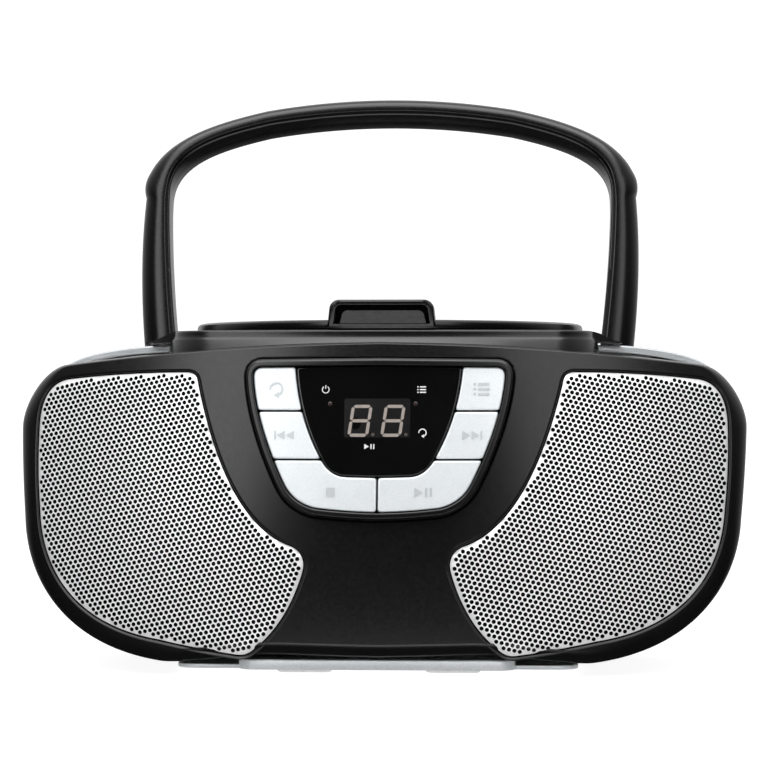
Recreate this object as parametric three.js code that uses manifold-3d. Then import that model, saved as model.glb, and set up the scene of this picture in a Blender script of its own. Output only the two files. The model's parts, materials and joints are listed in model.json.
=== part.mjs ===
// A portable CD and radio player with a bowed front, two speaker grilles, a control cluster,
// a lid on top and a carrying handle that folds back.
// Millimetres, X to the right, Y to the back, Z up. Sizes along Y count from the front of the
// bowed face; the last lines centre the object over its footprint.
import * as THREE from "three";
import { mergeVertices } from "three/addons/utils/BufferGeometryUtils.js";
import Module from "manifold-3d";

// Bowed front face
const SWEEP_RADIUS = 280; // plan radius of the face
const LEAN = 0.155; // backward slope of the face at the floor
const LEAN_CURVE = 0.00125; // how the slope grows with height
const FACE_DEPTH = 6; // depth over which parts keep the face's curve
const WALL = 2.5;
const GAP = 0.3;

// Cabinet
const SPLIT_Y = 74; // joint between front shell and rear cabinet
const BACK_Y = 200;
const BASE_Z = 2.6;
const SHOULDER_Z = 106.4;
const COVER_Z = 107.3; // underside of the top cover
const COVER_TOP_Z = 110.8;

// Lid, disc well and mechanism
const LID_Y = 112;
const LID_RADIUS = 69;
const LID_Z = 111.1;
const LID_TOP_Z = 115;
const WELL_RADIUS = 66.8;
const WELL_FLOOR_Z = 98.5;
const HINGE_Y = 186;
const HINGE_Z = 113.2;
const HOOD_WIDTH = 35;
const HOOD_TOP_Z = 121;
const SLED_FRONT_Y = 76;
const SLED_HALF = 14;
const GEAR_RADIUS = 6;

// Handle
const PIVOT_Y = 95;
const PIVOT_Z = 98;
const PIVOT_RADIUS = 4;
const HANDLE_LEAN = THREE.MathUtils.degToRad(18);
const HANDLE_HALF_DEPTH = 7;
const ROOT_RADIUS = 8;
const POCKET = [73.2, 90]; // across the handle root, on each side

// Controls
const PANEL_Z = 80; // height at which the control board lies square to the face
const PANEL_TILT = Math.atan(LEAN + 2 * LEAN_CURVE * PANEL_Z);
const TOP_ROW_Z = 84.3;
const LOW_ROW_Z = 68.8;
const BUTTON_GAP = 0.3; // half the slot between two buttons
const SIDE_PANEL_X = 110.2;
const KNOB_Y = 120;
const KNOB_Z = 60;
const SLIDER_Y = 147;
const SLIDER_TRAVEL = 10;

// Battery bay, antenna and feet
const BAY_HALF = 77;
const BAY_Z = [15, 69];
const TRAY_FRONT_Y = 168;
const ANTENNA_X = 86;
const ANTENNA_Y = 204.4;
const ANTENNA_Z = 94;
const MAST_LENGTH = 170;
const STUD_RADIUS = 2; // stud that carries the antenna on the back wall
const SPEAKER_X = 77;
const SPEAKER_Z = 54;

const wasm = await Module();
wasm.setup();

// ---- solids: closed geometries joined and cut with manifold-3d ----

function toSolid(geometry) {
  const bare = geometry.index ? geometry.toNonIndexed() : geometry.clone();
  bare.deleteAttribute("normal");
  bare.deleteAttribute("uv");
  const merged = mergeVertices(bare, 1e-4);
  const vertProperties = merged.attributes.position.array;
  const triVerts = new Uint32Array(merged.index.array);
  return new wasm.Manifold(new wasm.Mesh({ numProp: 3, vertProperties, triVerts }));
}

function toGeometry(solid) {
  const mesh = solid.getMesh();
  const geometry = new THREE.BufferGeometry();
  geometry.setAttribute("position", new THREE.BufferAttribute(mesh.vertProperties, 3));
  geometry.setIndex(new THREE.BufferAttribute(mesh.triVerts, 1));
  return geometry;
}

function join(...geometries) {
  return toGeometry(geometries.map(toSolid).reduce((a, b) => a.add(b)));
}

function cut(geometry, ...tools) {
  return toGeometry(tools.map(toSolid).reduce((a, b) => a.subtract(b), toSolid(geometry)));
}

function common(a, b) {
  return toGeometry(toSolid(a).intersect(toSolid(b)));
}

// ---- outlines: counter-clockwise lists of points ----

// A half outline from the bottom centre up the right side, completed on the left.
function mirrored(half) {
  const left = half.filter((p) => p.x > 1e-6).map((p) => new THREE.Vector2(-p.x, p.y));
  return [...half, ...left.reverse()];
}

function flipped(outline) {
  return outline.map((p) => new THREE.Vector2(-p.x, p.y)).reverse();
}

// Each point moved outwards by a distance, square to its two sides.
function grown(outline, distance) {
  return outline.map((p, i) => {
    const before = outline[(i + outline.length - 1) % outline.length];
    const after = outline[(i + 1) % outline.length];
    const a = p.clone().sub(before).normalize();
    const b = after.clone().sub(p).normalize();
    const square = new THREE.Vector2(a.y + b.y, -a.x - b.x);
    const spread = Math.max(square.lengthSq() / 2, 0.6);
    return p.clone().addScaledVector(square, distance / spread);
  });
}

function circle(radius, segments = 48, x = 0, y = 0) {
  return Array.from({ length: segments }, (_, i) => {
    const turn = (i / segments) * 2 * Math.PI;
    return new THREE.Vector2(x + radius * Math.cos(turn), y + radius * Math.sin(turn));
  });
}

function roundedRectangle(x0, x1, y0, y1, radius, steps = 4) {
  const corners = [
    [x1 - radius, y0 + radius, -0.5],
    [x1 - radius, y1 - radius, 0],
    [x0 + radius, y1 - radius, 0.5],
    [x0 + radius, y0 + radius, 1],
  ];
  return corners.flatMap(([x, y, start]) =>
    Array.from({ length: steps + 1 }, (_, i) => {
      const turn = (start + (0.5 * i) / steps) * Math.PI;
      return new THREE.Vector2(x + radius * Math.cos(turn), y + radius * Math.sin(turn));
    }),
  );
}

// ---- shapes ----

// Rings with the same number of points, front to back, closed by a cap at each end.
function loft(rings) {
  const position = rings.flat().flatMap((p) => [p.x, p.y, p.z]);
  const count = rings[0].length;
  const last = (rings.length - 1) * count;
  const index = [];
  const flat = (ring) => ring.map((p) => new THREE.Vector2(p.x, p.z));
  for (const [a, b, c] of THREE.ShapeUtils.triangulateShape(flat(rings[0]), [])) index.push(a, b, c);
  for (const [a, b, c] of THREE.ShapeUtils.triangulateShape(flat(rings.at(-1)), [])) {
    index.push(last + a, last + c, last + b);
  }
  for (let ring = 0; ring < last; ring += count) {
    for (let i = 0; i < count; i++) {
      const j = (i + 1) % count;
      index.push(ring + i, ring + count + i, ring + count + j);
      index.push(ring + i, ring + count + j, ring + j);
    }
  }
  const geometry = new THREE.BufferGeometry();
  geometry.setAttribute("position", new THREE.Float32BufferAttribute(position, 3));
  geometry.setIndex(index);
  return geometry;
}

// An outline in X and Z stacked along Y; each layer is [inset, y].
function stack(outline, layers) {
  const ring = ([inset, y]) => grown(outline, -inset).map((p) => new THREE.Vector3(p.x, y, p.y));
  return loft(layers.map(ring));
}

// An outline in X and Y stacked upwards; each layer is [inset, z].
function stackUp(outline, layers) {
  const turned = outline.map((p) => new THREE.Vector2(p.x, -p.y)).reverse();
  return stack(turned, layers).rotateX(Math.PI / 2);
}

function box(x0, x1, y0, y1, z0, z1) {
  const geometry = new THREE.BoxGeometry(x1 - x0, y1 - y0, z1 - z0);
  return geometry.translate((x0 + x1) / 2, (y0 + y1) / 2, (z0 + z1) / 2);
}

// A rod along one axis; at holds its other two coordinates in X, Y, Z order.
function rod(axis, radius, from, to, at, segments = 16) {
  const geometry = new THREE.CylinderGeometry(radius, radius, to - from, segments);
  const middle = (from + to) / 2;
  if (axis === "x") return geometry.rotateZ(Math.PI / 2).translate(middle, at[0], at[1]);
  if (axis === "y") return geometry.translate(at[0], middle, at[1]);
  return geometry.rotateX(Math.PI / 2).translate(at[0], at[1], middle);
}

// A prism along X from an outline in Y and Z.
function prismX(outline, x0, x1) {
  const shape = new THREE.Shape(outline.map(([y, z]) => new THREE.Vector2(y, z)));
  const geometry = new THREE.ExtrudeGeometry(shape, { depth: x1 - x0, bevelEnabled: false });
  return geometry.rotateX(Math.PI / 2).rotateZ(Math.PI / 2).translate(x0, 0, 0);
}

function lathe(profile, segments = 18) {
  const outline = profile.map(([r, y]) => new THREE.Vector2(r, y));
  return new THREE.LatheGeometry(outline, segments);
}

// ---- the bow of the front ----

function frontY(x, z) {
  return SWEEP_RADIUS - Math.sqrt(SWEEP_RADIUS ** 2 - x * x) + LEAN * z + LEAN_CURVE * z * z;
}

function bowedY(x, y, z) {
  const face = frontY(x, z);
  if (y <= FACE_DEPTH) return face + y;
  const share = (y - FACE_DEPTH) / (SPLIT_Y - FACE_DEPTH);
  return THREE.MathUtils.lerp(face + FACE_DEPTH, SPLIT_Y, share);
}

// Splits every edge whose width and height together are longer than a limit.
function refined(geometry, limit) {
  const merged = mergeVertices(geometry, 1e-4);
  const vertices = [...merged.attributes.position.array];
  let triangles = [...merged.index.array];
  for (let pass = 0; pass < 6; pass++) {
    const middles = new Map();
    const middle = (a, b) => {
      const [i, j] = a < b ? [a, b] : [b, a];
      const dx = vertices[3 * i] - vertices[3 * j];
      const dz = vertices[3 * i + 2] - vertices[3 * j + 2];
      if (Math.hypot(dx, dz) <= limit) return -1;
      const key = `${i} ${j}`;
      if (!middles.has(key)) {
        middles.set(key, vertices.length / 3);
        for (let k = 0; k < 3; k++) vertices.push((vertices[3 * i + k] + vertices[3 * j + k]) / 2);
      }
      return middles.get(key);
    };
    const next = [];
    for (let t = 0; t < triangles.length; t += 3) next.push(...split(triangles.slice(t, t + 3), middle));
    triangles = next;
    if (!middles.size) break;
  }
  const out = new THREE.BufferGeometry();
  out.setAttribute("position", new THREE.Float32BufferAttribute(vertices, 3));
  out.setIndex(triangles);
  return out;
}

// One triangle divided at the middles of its long edges.
function split([a, b, c], middle) {
  const [ab, bc, ca] = [middle(a, b), middle(b, c), middle(c, a)];
  const long = [ab, bc, ca].filter((m) => m >= 0).length;
  if (long === 0) return [a, b, c];
  if (long === 3) return [a, ab, ca, ab, b, bc, ca, bc, c, ab, bc, ca];
  if (long === 1) {
    if (ab >= 0) return [a, ab, c, ab, b, c];
    if (bc >= 0) return [a, b, bc, a, bc, c];
    return [a, b, ca, ca, b, c];
  }
  if (ab < 0) return [a, b, bc, a, bc, ca, ca, bc, c];
  if (bc < 0) return [b, c, ca, b, ca, ab, ab, ca, a];
  return [c, a, ab, c, ab, bc, bc, ab, b];
}

function bowed(geometry, limit = 26) {
  const fine = refined(geometry, limit);
  const at = fine.attributes.position;
  for (let i = 0; i < at.count; i++) at.setY(i, bowedY(at.getX(i), at.getY(i), at.getZ(i)));
  return fine;
}

// ---- outlines of the front, as the right half in X and Z ----

const shellOutline = mirrored(
  new THREE.Path()
    .moveTo(0, 6.8)
    .lineTo(30, 7.3)
    .bezierCurveTo(48, 7, 52, 4.6, 68, 4.3)
    .bezierCurveTo(100, 7.5, 116.5, 26.5, 118.3, 49)
    .quadraticCurveTo(120.4, 66, 121.2, 79)
    .bezierCurveTo(121.4, 86.5, 114.5, 98.6, 106, 99.6)
    .quadraticCurveTo(55, 106, 0, 106.8)
    .getPoints(5),
);

const grilleOutline = new THREE.Path()
  .moveTo(63, 96.8)
  .bezierCurveTo(60.2, 96.4, 60, 95, 59.5, 92.5)
  .bezierCurveTo(53, 67, 43, 46, 27, 41.2)
  .quadraticCurveTo(22.6, 38.9, 23.4, 34)
  .quadraticCurveTo(28, 17.5, 39, 9)
  .quadraticCurveTo(41.5, 6.9, 45, 7.6)
  .quadraticCurveTo(56, 8.9, 70, 11.6)
  .bezierCurveTo(95, 15, 110.6, 29, 112.4, 53)
  .quadraticCurveTo(114.2, 66, 114.2, 80)
  .bezierCurveTo(114.2, 88, 111, 94, 104, 94.6)
  .quadraticCurveTo(84, 96.8, 63, 96.8)
  .getPoints(4).slice(1);

const clusterOutline = mirrored(
  new THREE.Path()
    .moveTo(0, 52.3)
    .quadraticCurveTo(10, 52.4, 20, 53.6)
    .quadraticCurveTo(26.5, 55.2, 29.5, 60.5)
    .bezierCurveTo(34.5, 70, 40, 84, 40.8, 95.5)
    .quadraticCurveTo(40.9, 98.2, 38.4, 98.4)
    .lineTo(0, 98.8)
    .getPoints(4),
);

const lensOutline = mirrored(
  new THREE.Path()
    .moveTo(0, 63.4)
    .lineTo(10.5, 63.7)
    .quadraticCurveTo(15.5, 64, 18.5, 70.2)
    .quadraticCurveTo(25.6, 83, 26.8, 98.4)
    .lineTo(0, 98.8)
    .getPoints(4),
);

// Handle, in its own plane: X across and height above the pivot.
const handleOuter = new THREE.Path()
  .moveTo(86, -12)
  .lineTo(85.5, 0)
  .quadraticCurveTo(90.4, 36, 88.4, 65.1)
  .quadraticCurveTo(90.1, 70.2, 87.5, 74.8)
  .bezierCurveTo(81.9, 87.2, 66.6, 93.7, 44.9, 98.9)
  .quadraticCurveTo(22.5, 103, 0, 103)
  .getPoints(5);
const handleInner = new THREE.Path()
  .moveTo(74.2, -12)
  .lineTo(73.6, 0)
  .quadraticCurveTo(78.3, 34, 79.2, 60)
  .quadraticCurveTo(79.25, 63, 79.2, 66)
  .bezierCurveTo(78.8, 81, 63.2, 86.4, 44, 91.2)
  .quadraticCurveTo(22.5, 95.1, 0, 95.1)
  .getPoints(5);
const handleOutline = [
  ...handleOuter,
  ...handleOuter.slice(0, -1).map((p) => new THREE.Vector2(-p.x, p.y)).reverse(),
  ...handleInner.slice(0, -1).map((p) => new THREE.Vector2(-p.x, p.y)),
  ...handleInner.slice().reverse(),
];

// Rear cabinet, half outline at its widest.
const cabinetOutline = mirrored(
  new THREE.Path()
    .moveTo(0, BASE_Z)
    .lineTo(76, BASE_Z)
    .bezierCurveTo(104, BASE_Z, 116, 26, 118, 50)
    .quadraticCurveTo(119.6, 66, 119.4, 82)
    .bezierCurveTo(119, 94, 112, 101, 100, 103.6)
    .quadraticCurveTo(88, SHOULDER_Z, 72, SHOULDER_Z)
    .lineTo(0, SHOULDER_Z)
    .getPoints(3),
);

// ---- materials ----

function finish(color, roughness, metalness = 0) {
  return new THREE.MeshStandardMaterial({ color, roughness, metalness });
}

const blackShell = finish(0x1b1b1a, 0.38);
const blackTrim = finish(0x131313, 0.25);
const silverShell = finish(0xd4dbe0, 0.32);
const silverButton = finish(0xc9d2d8, 0.3, 0.4);
const grilleSteel = finish(0xb9bcbd, 0.35, 0.9);
const smokedLens = finish(0x050505, 0.06);
const darkWindow = finish(0x241c1b, 0.4);
const board = finish(0x1f5a35, 0.6);
const steel = finish(0x9a9ea1, 0.3, 1);
const paperCone = finish(0x2a2927, 0.9);
const ferrite = finish(0x2f3032, 0.7);
const rubber = finish(0x151515, 0.85);
const innerPlastic = finish(0x242424, 0.6);
const brass = finish(0xc39a4a, 0.35, 1);
const copper = finish(0x8a5a30, 0.45, 0.6);

const player = new THREE.Group();

function add(name, geometry, material, parent = player) {
  const mesh = new THREE.Mesh(geometry, material);
  mesh.name = name;
  parent.add(mesh);
  return mesh;
}

// ---- front ----

function frontShell() {
  const outer = stack(shellOutline, [[3.2, 0], [1, 0.9], [0, 3], [0, FACE_DEPTH], [0, SPLIT_Y]]);
  const inner = stack(grown(shellOutline, -WALL), [[0, WALL], [0, FACE_DEPTH], [0, SPLIT_Y + 1]]);
  const window = (outline, growth) => stack(grown(outline, growth), [[0, -1], [0, FACE_DEPTH]]);
  const flat = cut(
    outer,
    inner,
    window(grilleOutline, GAP),
    window(flipped(grilleOutline), GAP),
    window(clusterOutline, 3),
  );
  const well = rod("z", WELL_RADIUS + 0.9, 94, 120, [0, LID_Y], 48);
  return cut(bowed(flat), well);
}

function grille(outline) {
  return bowed(stack(outline, [[1.3, -1.4], [0, -0.6], [0, 1.4]]));
}

function controlBezel() {
  const ring = stack(grown(clusterOutline, 2.7), [[0.9, -3.2], [0, -2.2], [0, WALL]]);
  const opening = stack(grown(clusterOutline, GAP), [[0, -4], [0, WALL + 1]]);
  return bowed(cut(ring, opening));
}

const panelMatrix = new THREE.Matrix4()
  .makeTranslation(0, frontY(0, PANEL_Z), PANEL_Z)
  .multiply(new THREE.Matrix4().makeRotationX(-PANEL_TILT));
const SWITCH_FACE = 8.4; // depth behind the face, square to the control board
const BOARD_FACE = 12.7;

function panelZ(z) {
  return (z - PANEL_Z) / Math.cos(PANEL_TILT);
}

// Buttons: name, the box of the cluster that each takes, and where its stem sits.
const buttons = [
  { name: "button_repeat", x: [-50, -BUTTON_GAP], z: [TOP_ROW_Z, 110], stem: [-33, 91] },
  { name: "button_program", x: [BUTTON_GAP, 50], z: [TOP_ROW_Z, 110], stem: [33, 91] },
  { name: "button_skip_back", x: [-50, -BUTTON_GAP], z: [LOW_ROW_Z, TOP_ROW_Z], stem: [-29.5, 76.5] },
  { name: "button_skip_forward", x: [BUTTON_GAP, 50], z: [LOW_ROW_Z, TOP_ROW_Z], stem: [29.5, 76.5] },
  { name: "button_stop", x: [-50, -BUTTON_GAP], z: [40, LOW_ROW_Z], stem: [-14, 58.5] },
  { name: "button_play_pause", x: [BUTTON_GAP, 50], z: [40, LOW_ROW_Z], stem: [14, 58.5] },
];

function button({ x, z, stem }) {
  const field = stack(clusterOutline, [[0.5, -2.4], [0, -1.9], [0, 2.2]]);
  const lensHole = stack(grown(lensOutline, 0.4), [[0, -4], [0, 4]]);
  const region = box(x[0], x[1], -5, 5, z[0] + BUTTON_GAP, z[1] - BUTTON_GAP);
  const cap = bowed(common(cut(field, lensHole), region), 10);
  const post = rod("y", 2, 1.5, SWITCH_FACE - 1.6, [stem[0], panelZ(stem[1])], 12);
  return join(cap, post.applyMatrix4(panelMatrix));
}

function controlBoard() {
  const plate = box(-36, 36, BOARD_FACE, BOARD_FACE + 1.6, panelZ(54), panelZ(95));
  const switches = buttons.map(({ stem: [x, z] }) => {
    const height = panelZ(z);
    const body = box(x - 3, x + 3, SWITCH_FACE + 1, BOARD_FACE + 0.2, height - 3, height + 3);
    return join(body, rod("y", 1.7, SWITCH_FACE, SWITCH_FACE + 1.2, [x, height], 8));
  });
  return join(plate, ...switches).applyMatrix4(panelMatrix);
}

function ledDisplay() {
  const [bottom, top] = [panelZ(71), panelZ(93)];
  return box(-17.6, 17.6, 3.6, BOARD_FACE - GAP, bottom, top).applyMatrix4(panelMatrix);
}

add("front_shell", frontShell(), blackShell);
add("grille_right", grille(grilleOutline), grilleSteel);
add("grille_left", grille(flipped(grilleOutline)), grilleSteel);
add("control_bezel", controlBezel(), blackTrim);
buttons.forEach((spec) => add(spec.name, button(spec), silverButton));
add("display_lens", bowed(stack(lensOutline, [[0.5, -1.9], [0, -1.4], [0, 0.8]]), 10), smokedLens);
add("led_display", ledDisplay(), darkWindow);
add("control_board", controlBoard(), board);

// ---- speakers ----

function speaker(side) {
  const x = side * SPEAKER_X;
  const acrossSlope = x / Math.sqrt(SWEEP_RADIUS ** 2 - x * x);
  const upSlope = LEAN + 2 * LEAN_CURVE * SPEAKER_Z;
  const inward = new THREE.Vector3(-acrossSlope, 1, -upSlope).normalize();
  const group = new THREE.Group();
  group.position.set(x, frontY(x, SPEAKER_Z), SPEAKER_Z).addScaledVector(inward, 8);
  group.quaternion.setFromUnitVectors(new THREE.Vector3(0, 1, 0), inward);
  player.add(group);

  const word = side < 0 ? "left" : "right";
  const basket = [
    [29.5, 0], [36, 0], [36, 1.6], [31.5, 1.8], [18, 19], [18, 22], [9, 22], [9, 20.6],
    [16.6, 20.6], [16.6, 18.4], [29.5, 2], [29.5, 0],
  ];
  const cone = [
    [0, 8.6], [4, 9.2], [7.5, 11.2], [24.6, 2.6], [27, 0.8], [29.1, 1], [29.1, 1.6],
    [27, 1.7], [24.8, 3.6], [7.6, 12.8], [0, 12.8],
  ];
  add(`speaker_basket_${word}`, lathe(basket), steel, group);
  add(`speaker_cone_${word}`, lathe(cone), paperCone, group);
  add(`speaker_magnet_${word}`, rod("y", 20, 22 + GAP, 32, [0, 0], 24), ferrite, group);
}

[-1, 1].forEach(speaker);

// ---- rear cabinet ----

const SIDES = [-1, 1];

function acrossBox(side, from, to, y0, y1, z0, z1) {
  const [a, b] = side > 0 ? [from, to] : [-to, -from];
  return box(a, b, y0, y1, z0, z1);
}

function pocketPrism(side, margin) {
  const profile = [
    [85.2 - margin, 125],
    [85.2 - margin, 85.2 - margin],
    [104, 85.2 - margin],
    [160 + margin, 107.3 - margin],
    [160 + margin, 125],
  ];
  const [from, to] = [POCKET[0] - margin, POCKET[1] + margin];
  return side > 0 ? prismX(profile, from, to) : prismX(profile, -to, -from);
}

// The cabinet outline at one depth, narrowed towards the middle and let down from the top.
function cabinetRing(outline, y, narrow, lower) {
  const span = SHOULDER_Z - BASE_Z;
  return outline.map((p) => {
    const height = (p.y - BASE_Z) / span;
    return new THREE.Vector3(p.x * narrow, y, BASE_Z + height * (span - lower));
  });
}

function rearCabinet() {
  const outer = loft([
    cabinetRing(cabinetOutline, SPLIT_Y + GAP, 1, 0),
    cabinetRing(cabinetOutline, 110, 0.985, 0),
    cabinetRing(cabinetOutline, 150, 0.962, 0),
    cabinetRing(cabinetOutline, 186, 0.934, 0),
    cabinetRing(cabinetOutline, 195, 0.915, 1.6),
    cabinetRing(cabinetOutline, BACK_Y, 0.875, 5),
  ]);
  const innerOutline = grown(cabinetOutline, -WALL);
  const inner = loft([
    cabinetRing(innerOutline, SPLIT_Y - 1, 1, 0),
    cabinetRing(innerOutline, 110, 0.983, 0),
    cabinetRing(innerOutline, 150, 0.959, 0),
    cabinetRing(innerOutline, 186, 0.93, 0.4),
    cabinetRing(innerOutline, BACK_Y - WALL, 0.9, 3),
  ]);
  const shell = cut(outer, inner);
  const pocketWalls = SIDES.map((side) => common(pocketPrism(side, 2), outer));
  const sideWalls = SIDES.map((side) => {
    const wall = acrossBox(side, SIDE_PANEL_X - 2.2, SIDE_PANEL_X, 96, 160, 34, 86);
    const upper = acrossBox(side, SIDE_PANEL_X - 2.2, 120, 96, 160, 83.4, 86);
    const lower = acrossBox(side, SIDE_PANEL_X - 2.2, 120, 96, 160, 34, 36.6);
    const front = acrossBox(side, SIDE_PANEL_X - 2.2, 120, 94, 98.6, 34, 86);
    const rear = acrossBox(side, SIDE_PANEL_X - 2.2, 120, 157.4, 161, 34, 86);
    return common(join(wall, upper, lower, front, rear), outer);
  });
  const tongue = join(
    box(-64, 64, 10, SPLIT_Y + 6, BASE_Z, 4),
    box(-44, 44, 6, SPLIT_Y + 6, BASE_Z, 5.9),
  );
  return cut(
    join(shell, ...pocketWalls, ...sideWalls, tongue),
    ...SIDES.map((side) => pocketPrism(side, 0)),
    ...SIDES.map((side) => acrossBox(side, SIDE_PANEL_X, 130, 98.6, 157.4, 36.6, 83.4)),
    ...SIDES.map((side) => {
      const [from, to] = side > 0 ? [66, 96] : [-96, -66];
      return rod("x", PIVOT_RADIUS + GAP, from, to, [PIVOT_Y, PIVOT_Z]);
    }),
    ...SIDES.map((side) => {
      const [from, to] = side > 0 ? [100, 125] : [-125, -100];
      return rod("x", 3.4, from, to, [KNOB_Y, KNOB_Z]);
    }),
    ...SIDES.map((side) => acrossBox(side, 100, 125, SLIDER_Y - 1.5, SLIDER_Y + 1.5, 50, 70)),
    rod("z", WELL_RADIUS + 0.9, 94, 120, [0, LID_Y], 48),
    box(-BAY_HALF, BAY_HALF, BACK_Y - 5, BACK_Y + 5, BAY_Z[0] - 0.7, BAY_Z[1]),
    rod("y", STUD_RADIUS + GAP, BACK_Y - 5, BACK_Y + 5, [ANTENNA_X, ANTENNA_Z]),
    box(47.7, 72.3, BACK_Y - 5, BACK_Y + 5, 76.7, 90.3),
    box(-80.3, -67.7, BACK_Y - 5, BACK_Y + 5, 77.7, 90.3),
  );
}

add("rear_cabinet", rearCabinet(), silverShell);

// ---- top cover, disc well and lid ----

const hingeAxis = [HINGE_Y, HINGE_Z];

function topCover() {
  const plan = roundedRectangle(-72.8, 72.8, 33.5, 192, 15, 3).map((p) => {
    const sweep = frontY(p.x, 0);
    return p.y < 100 ? new THREE.Vector2(p.x, p.y + sweep) : p;
  });
  const slab = stackUp(plan, [[0, COVER_Z], [0, 109.4], [0.5, 110.4], [1.6, COVER_TOP_Z]]);
  const top = [0, 12, 24, 36, 48, 60, 72.4];
  const shellTop = (x) => 106.8 - (x / 20.8) ** 2 * 0.3 + 0.35 + (x > 60 ? 0.35 : 0);
  const apronHalf = top.map((x) => new THREE.Vector2(x, Math.min(shellTop(x), COVER_Z + 0.05)));
  const apron = stack(
    mirrored([...apronHalf, new THREE.Vector2(72.4, COVER_Z + 1), new THREE.Vector2(0, COVER_Z + 1)]),
    [[0, 48], [0, SPLIT_Y - GAP]],
  );
  const shoulder = [[70.5, 107.4], [80.6, 106.7], [80.6, 106.95], [76, 108.2], [72, 110], [70.5, 110.2]];
  const shoulders = SIDES.map((side) => {
    const outline = shoulder.map(([x, z]) => new THREE.Vector2(x, z));
    return stack(side > 0 ? outline : flipped(outline), [[0, 58], [0, 84]]);
  });
  const ears = SIDES.map((side) => {
    const ear = acrossBox(side, 35, 40, HINGE_Y - 3.4, HINGE_Y + 3.4, COVER_TOP_Z - 0.5, HINGE_Z);
    const eye = acrossRod(side, 3.4, 35, 40, hingeAxis);
    return join(ear, eye);
  });
  return cut(
    join(slab, apron, ...shoulders, ...ears),
    rod("z", WELL_RADIUS + 0.4, 94, 120, [0, LID_Y], 48),
    ...SIDES.map((side) => acrossRod(side, 1.8, 30, 45, hingeAxis)),
    ...SIDES.map((side) => acrossBox(side, 21.6, 34.98, HINGE_Y - 4, HINGE_Y + 4, 109.6, 112)),
  );
}

function acrossRod(side, radius, from, to, at) {
  return side > 0 ? rod("x", radius, from, to, at) : rod("x", radius, -to, -from, at);
}

function discWell() {
  const dish = stackUp(circle(WELL_RADIUS, 48, 0, LID_Y), [[0, WELL_FLOOR_Z], [0, 110.2]]);
  const hollow = stackUp(circle(WELL_RADIUS - 1.6, 48, 0, LID_Y), [[0, WELL_FLOOR_Z + 1.6], [0, 112]]);
  const spindleHole = rod("z", 17, 90, 112, [0, LID_Y], 24);
  const pickupSlot = box(-7, 7, 49, 99, 90, 105);
  return cut(dish, hollow, spindleHole, pickupSlot);
}

function lid() {
  const front = LID_Y - LID_RADIUS;
  const disc = stackUp(circle(LID_RADIUS, 44, 0, LID_Y), [
    [0, LID_Z], [0, 113.2], [1.4, 114.3], [12, LID_TOP_Z],
  ]);
  const hollow = stackUp(circle(LID_RADIUS - 2.4, 40, 0, LID_Y), [[0, LID_Z - 1], [0, 112.6]]);
  const half = HOOD_WIDTH / 2;
  const hood = stackUp(roundedRectangle(-half, half, front - 0.2, front + 26, 4, 3), [
    [0, LID_Z], [0, HOOD_TOP_Z - 3], [0.7, HOOD_TOP_Z - 1], [2.2, HOOD_TOP_Z],
  ]);
  const back = [[front + 12, 125], [front + 12, 121.2], [front + 27, 114], [front + 40, 125]];
  const below = box(-20, 20, front + 12, front + 30, 105, 112.7);
  const mouth = box(1.8 - half, half - 1.8, front - 2, front + 11, 112.9, HOOD_TOP_Z - 1.8);
  const knuckles = SIDES.map((side) => {
    const arm = acrossBox(side, 22, 34.6, LID_Y + 60, HINGE_Y, LID_Z, 112.9);
    return join(arm, acrossRod(side, 3, 22, 34.6, hingeAxis));
  });
  return cut(
    join(cut(disc, hollow), cut(hood, prismX(back, -20, 20), below), ...knuckles),
    mouth,
    ...SIDES.map((side) => acrossRod(side, 1.8, 18, 40, hingeAxis)),
  );
}

add("top_cover", topCover(), blackShell);
add("cd_well", discWell(), innerPlastic);
add("cd_lid", lid(), blackShell);
add("disc_clamp", stackUp(circle(15, 32, 0, LID_Y), [[1, 107.4], [0, 108.4], [0, 112.3]]), silverButton);
add("lid_hinge_pin_left", rod("x", 1.5, -39.6, -22.4, hingeAxis, 12), steel);
add("lid_hinge_pin_right", rod("x", 1.5, 22.4, 39.6, hingeAxis, 12), steel);

// ---- disc mechanism ----

function chassis() {
  const plate = box(-30, 30, 42, 132, 90, 92);
  const lugs = [42, 96].map((y) => box(-13, 13, y, y + 2.4, 91.8, 97.6));
  const gearPost = rod("z", 1.4, 91.8, 96.6, [SLED_HALF + GAP + GEAR_RADIUS, 80], 12);
  return cut(
    join(plate, ...lugs, gearPost),
    rod("z", 3.6, 85, 95, [0, LID_Y], 16),
    box(-6, 6, 48, 92, 85, 93),
  );
}

function turntable() {
  return join(
    stackUp(circle(14, 32, 0, LID_Y), [[0, 100.4], [0, 102.2]]),
    stackUp(circle(7.3, 24, 0, LID_Y), [[0, 102], [0, 104.4], [1.6, 106.4]]),
    rod("z", 2.6, 90, 101, [0, LID_Y], 16),
  );
}

function sled() {
  const [y0, y1] = [SLED_FRONT_Y, SLED_FRONT_Y + 18];
  const block = box(-SLED_HALF, SLED_HALF, y0, y1, 92.4, 97.4);
  const rods = [-9, 9].map((x) => rod("y", 1.85, y0 - 2, y1 + 2, [x, 94.9]));
  return join(cut(block, ...rods), rod("z", 3.6, 97, 100.4, [0, SLED_FRONT_Y + 11], 16));
}

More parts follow.
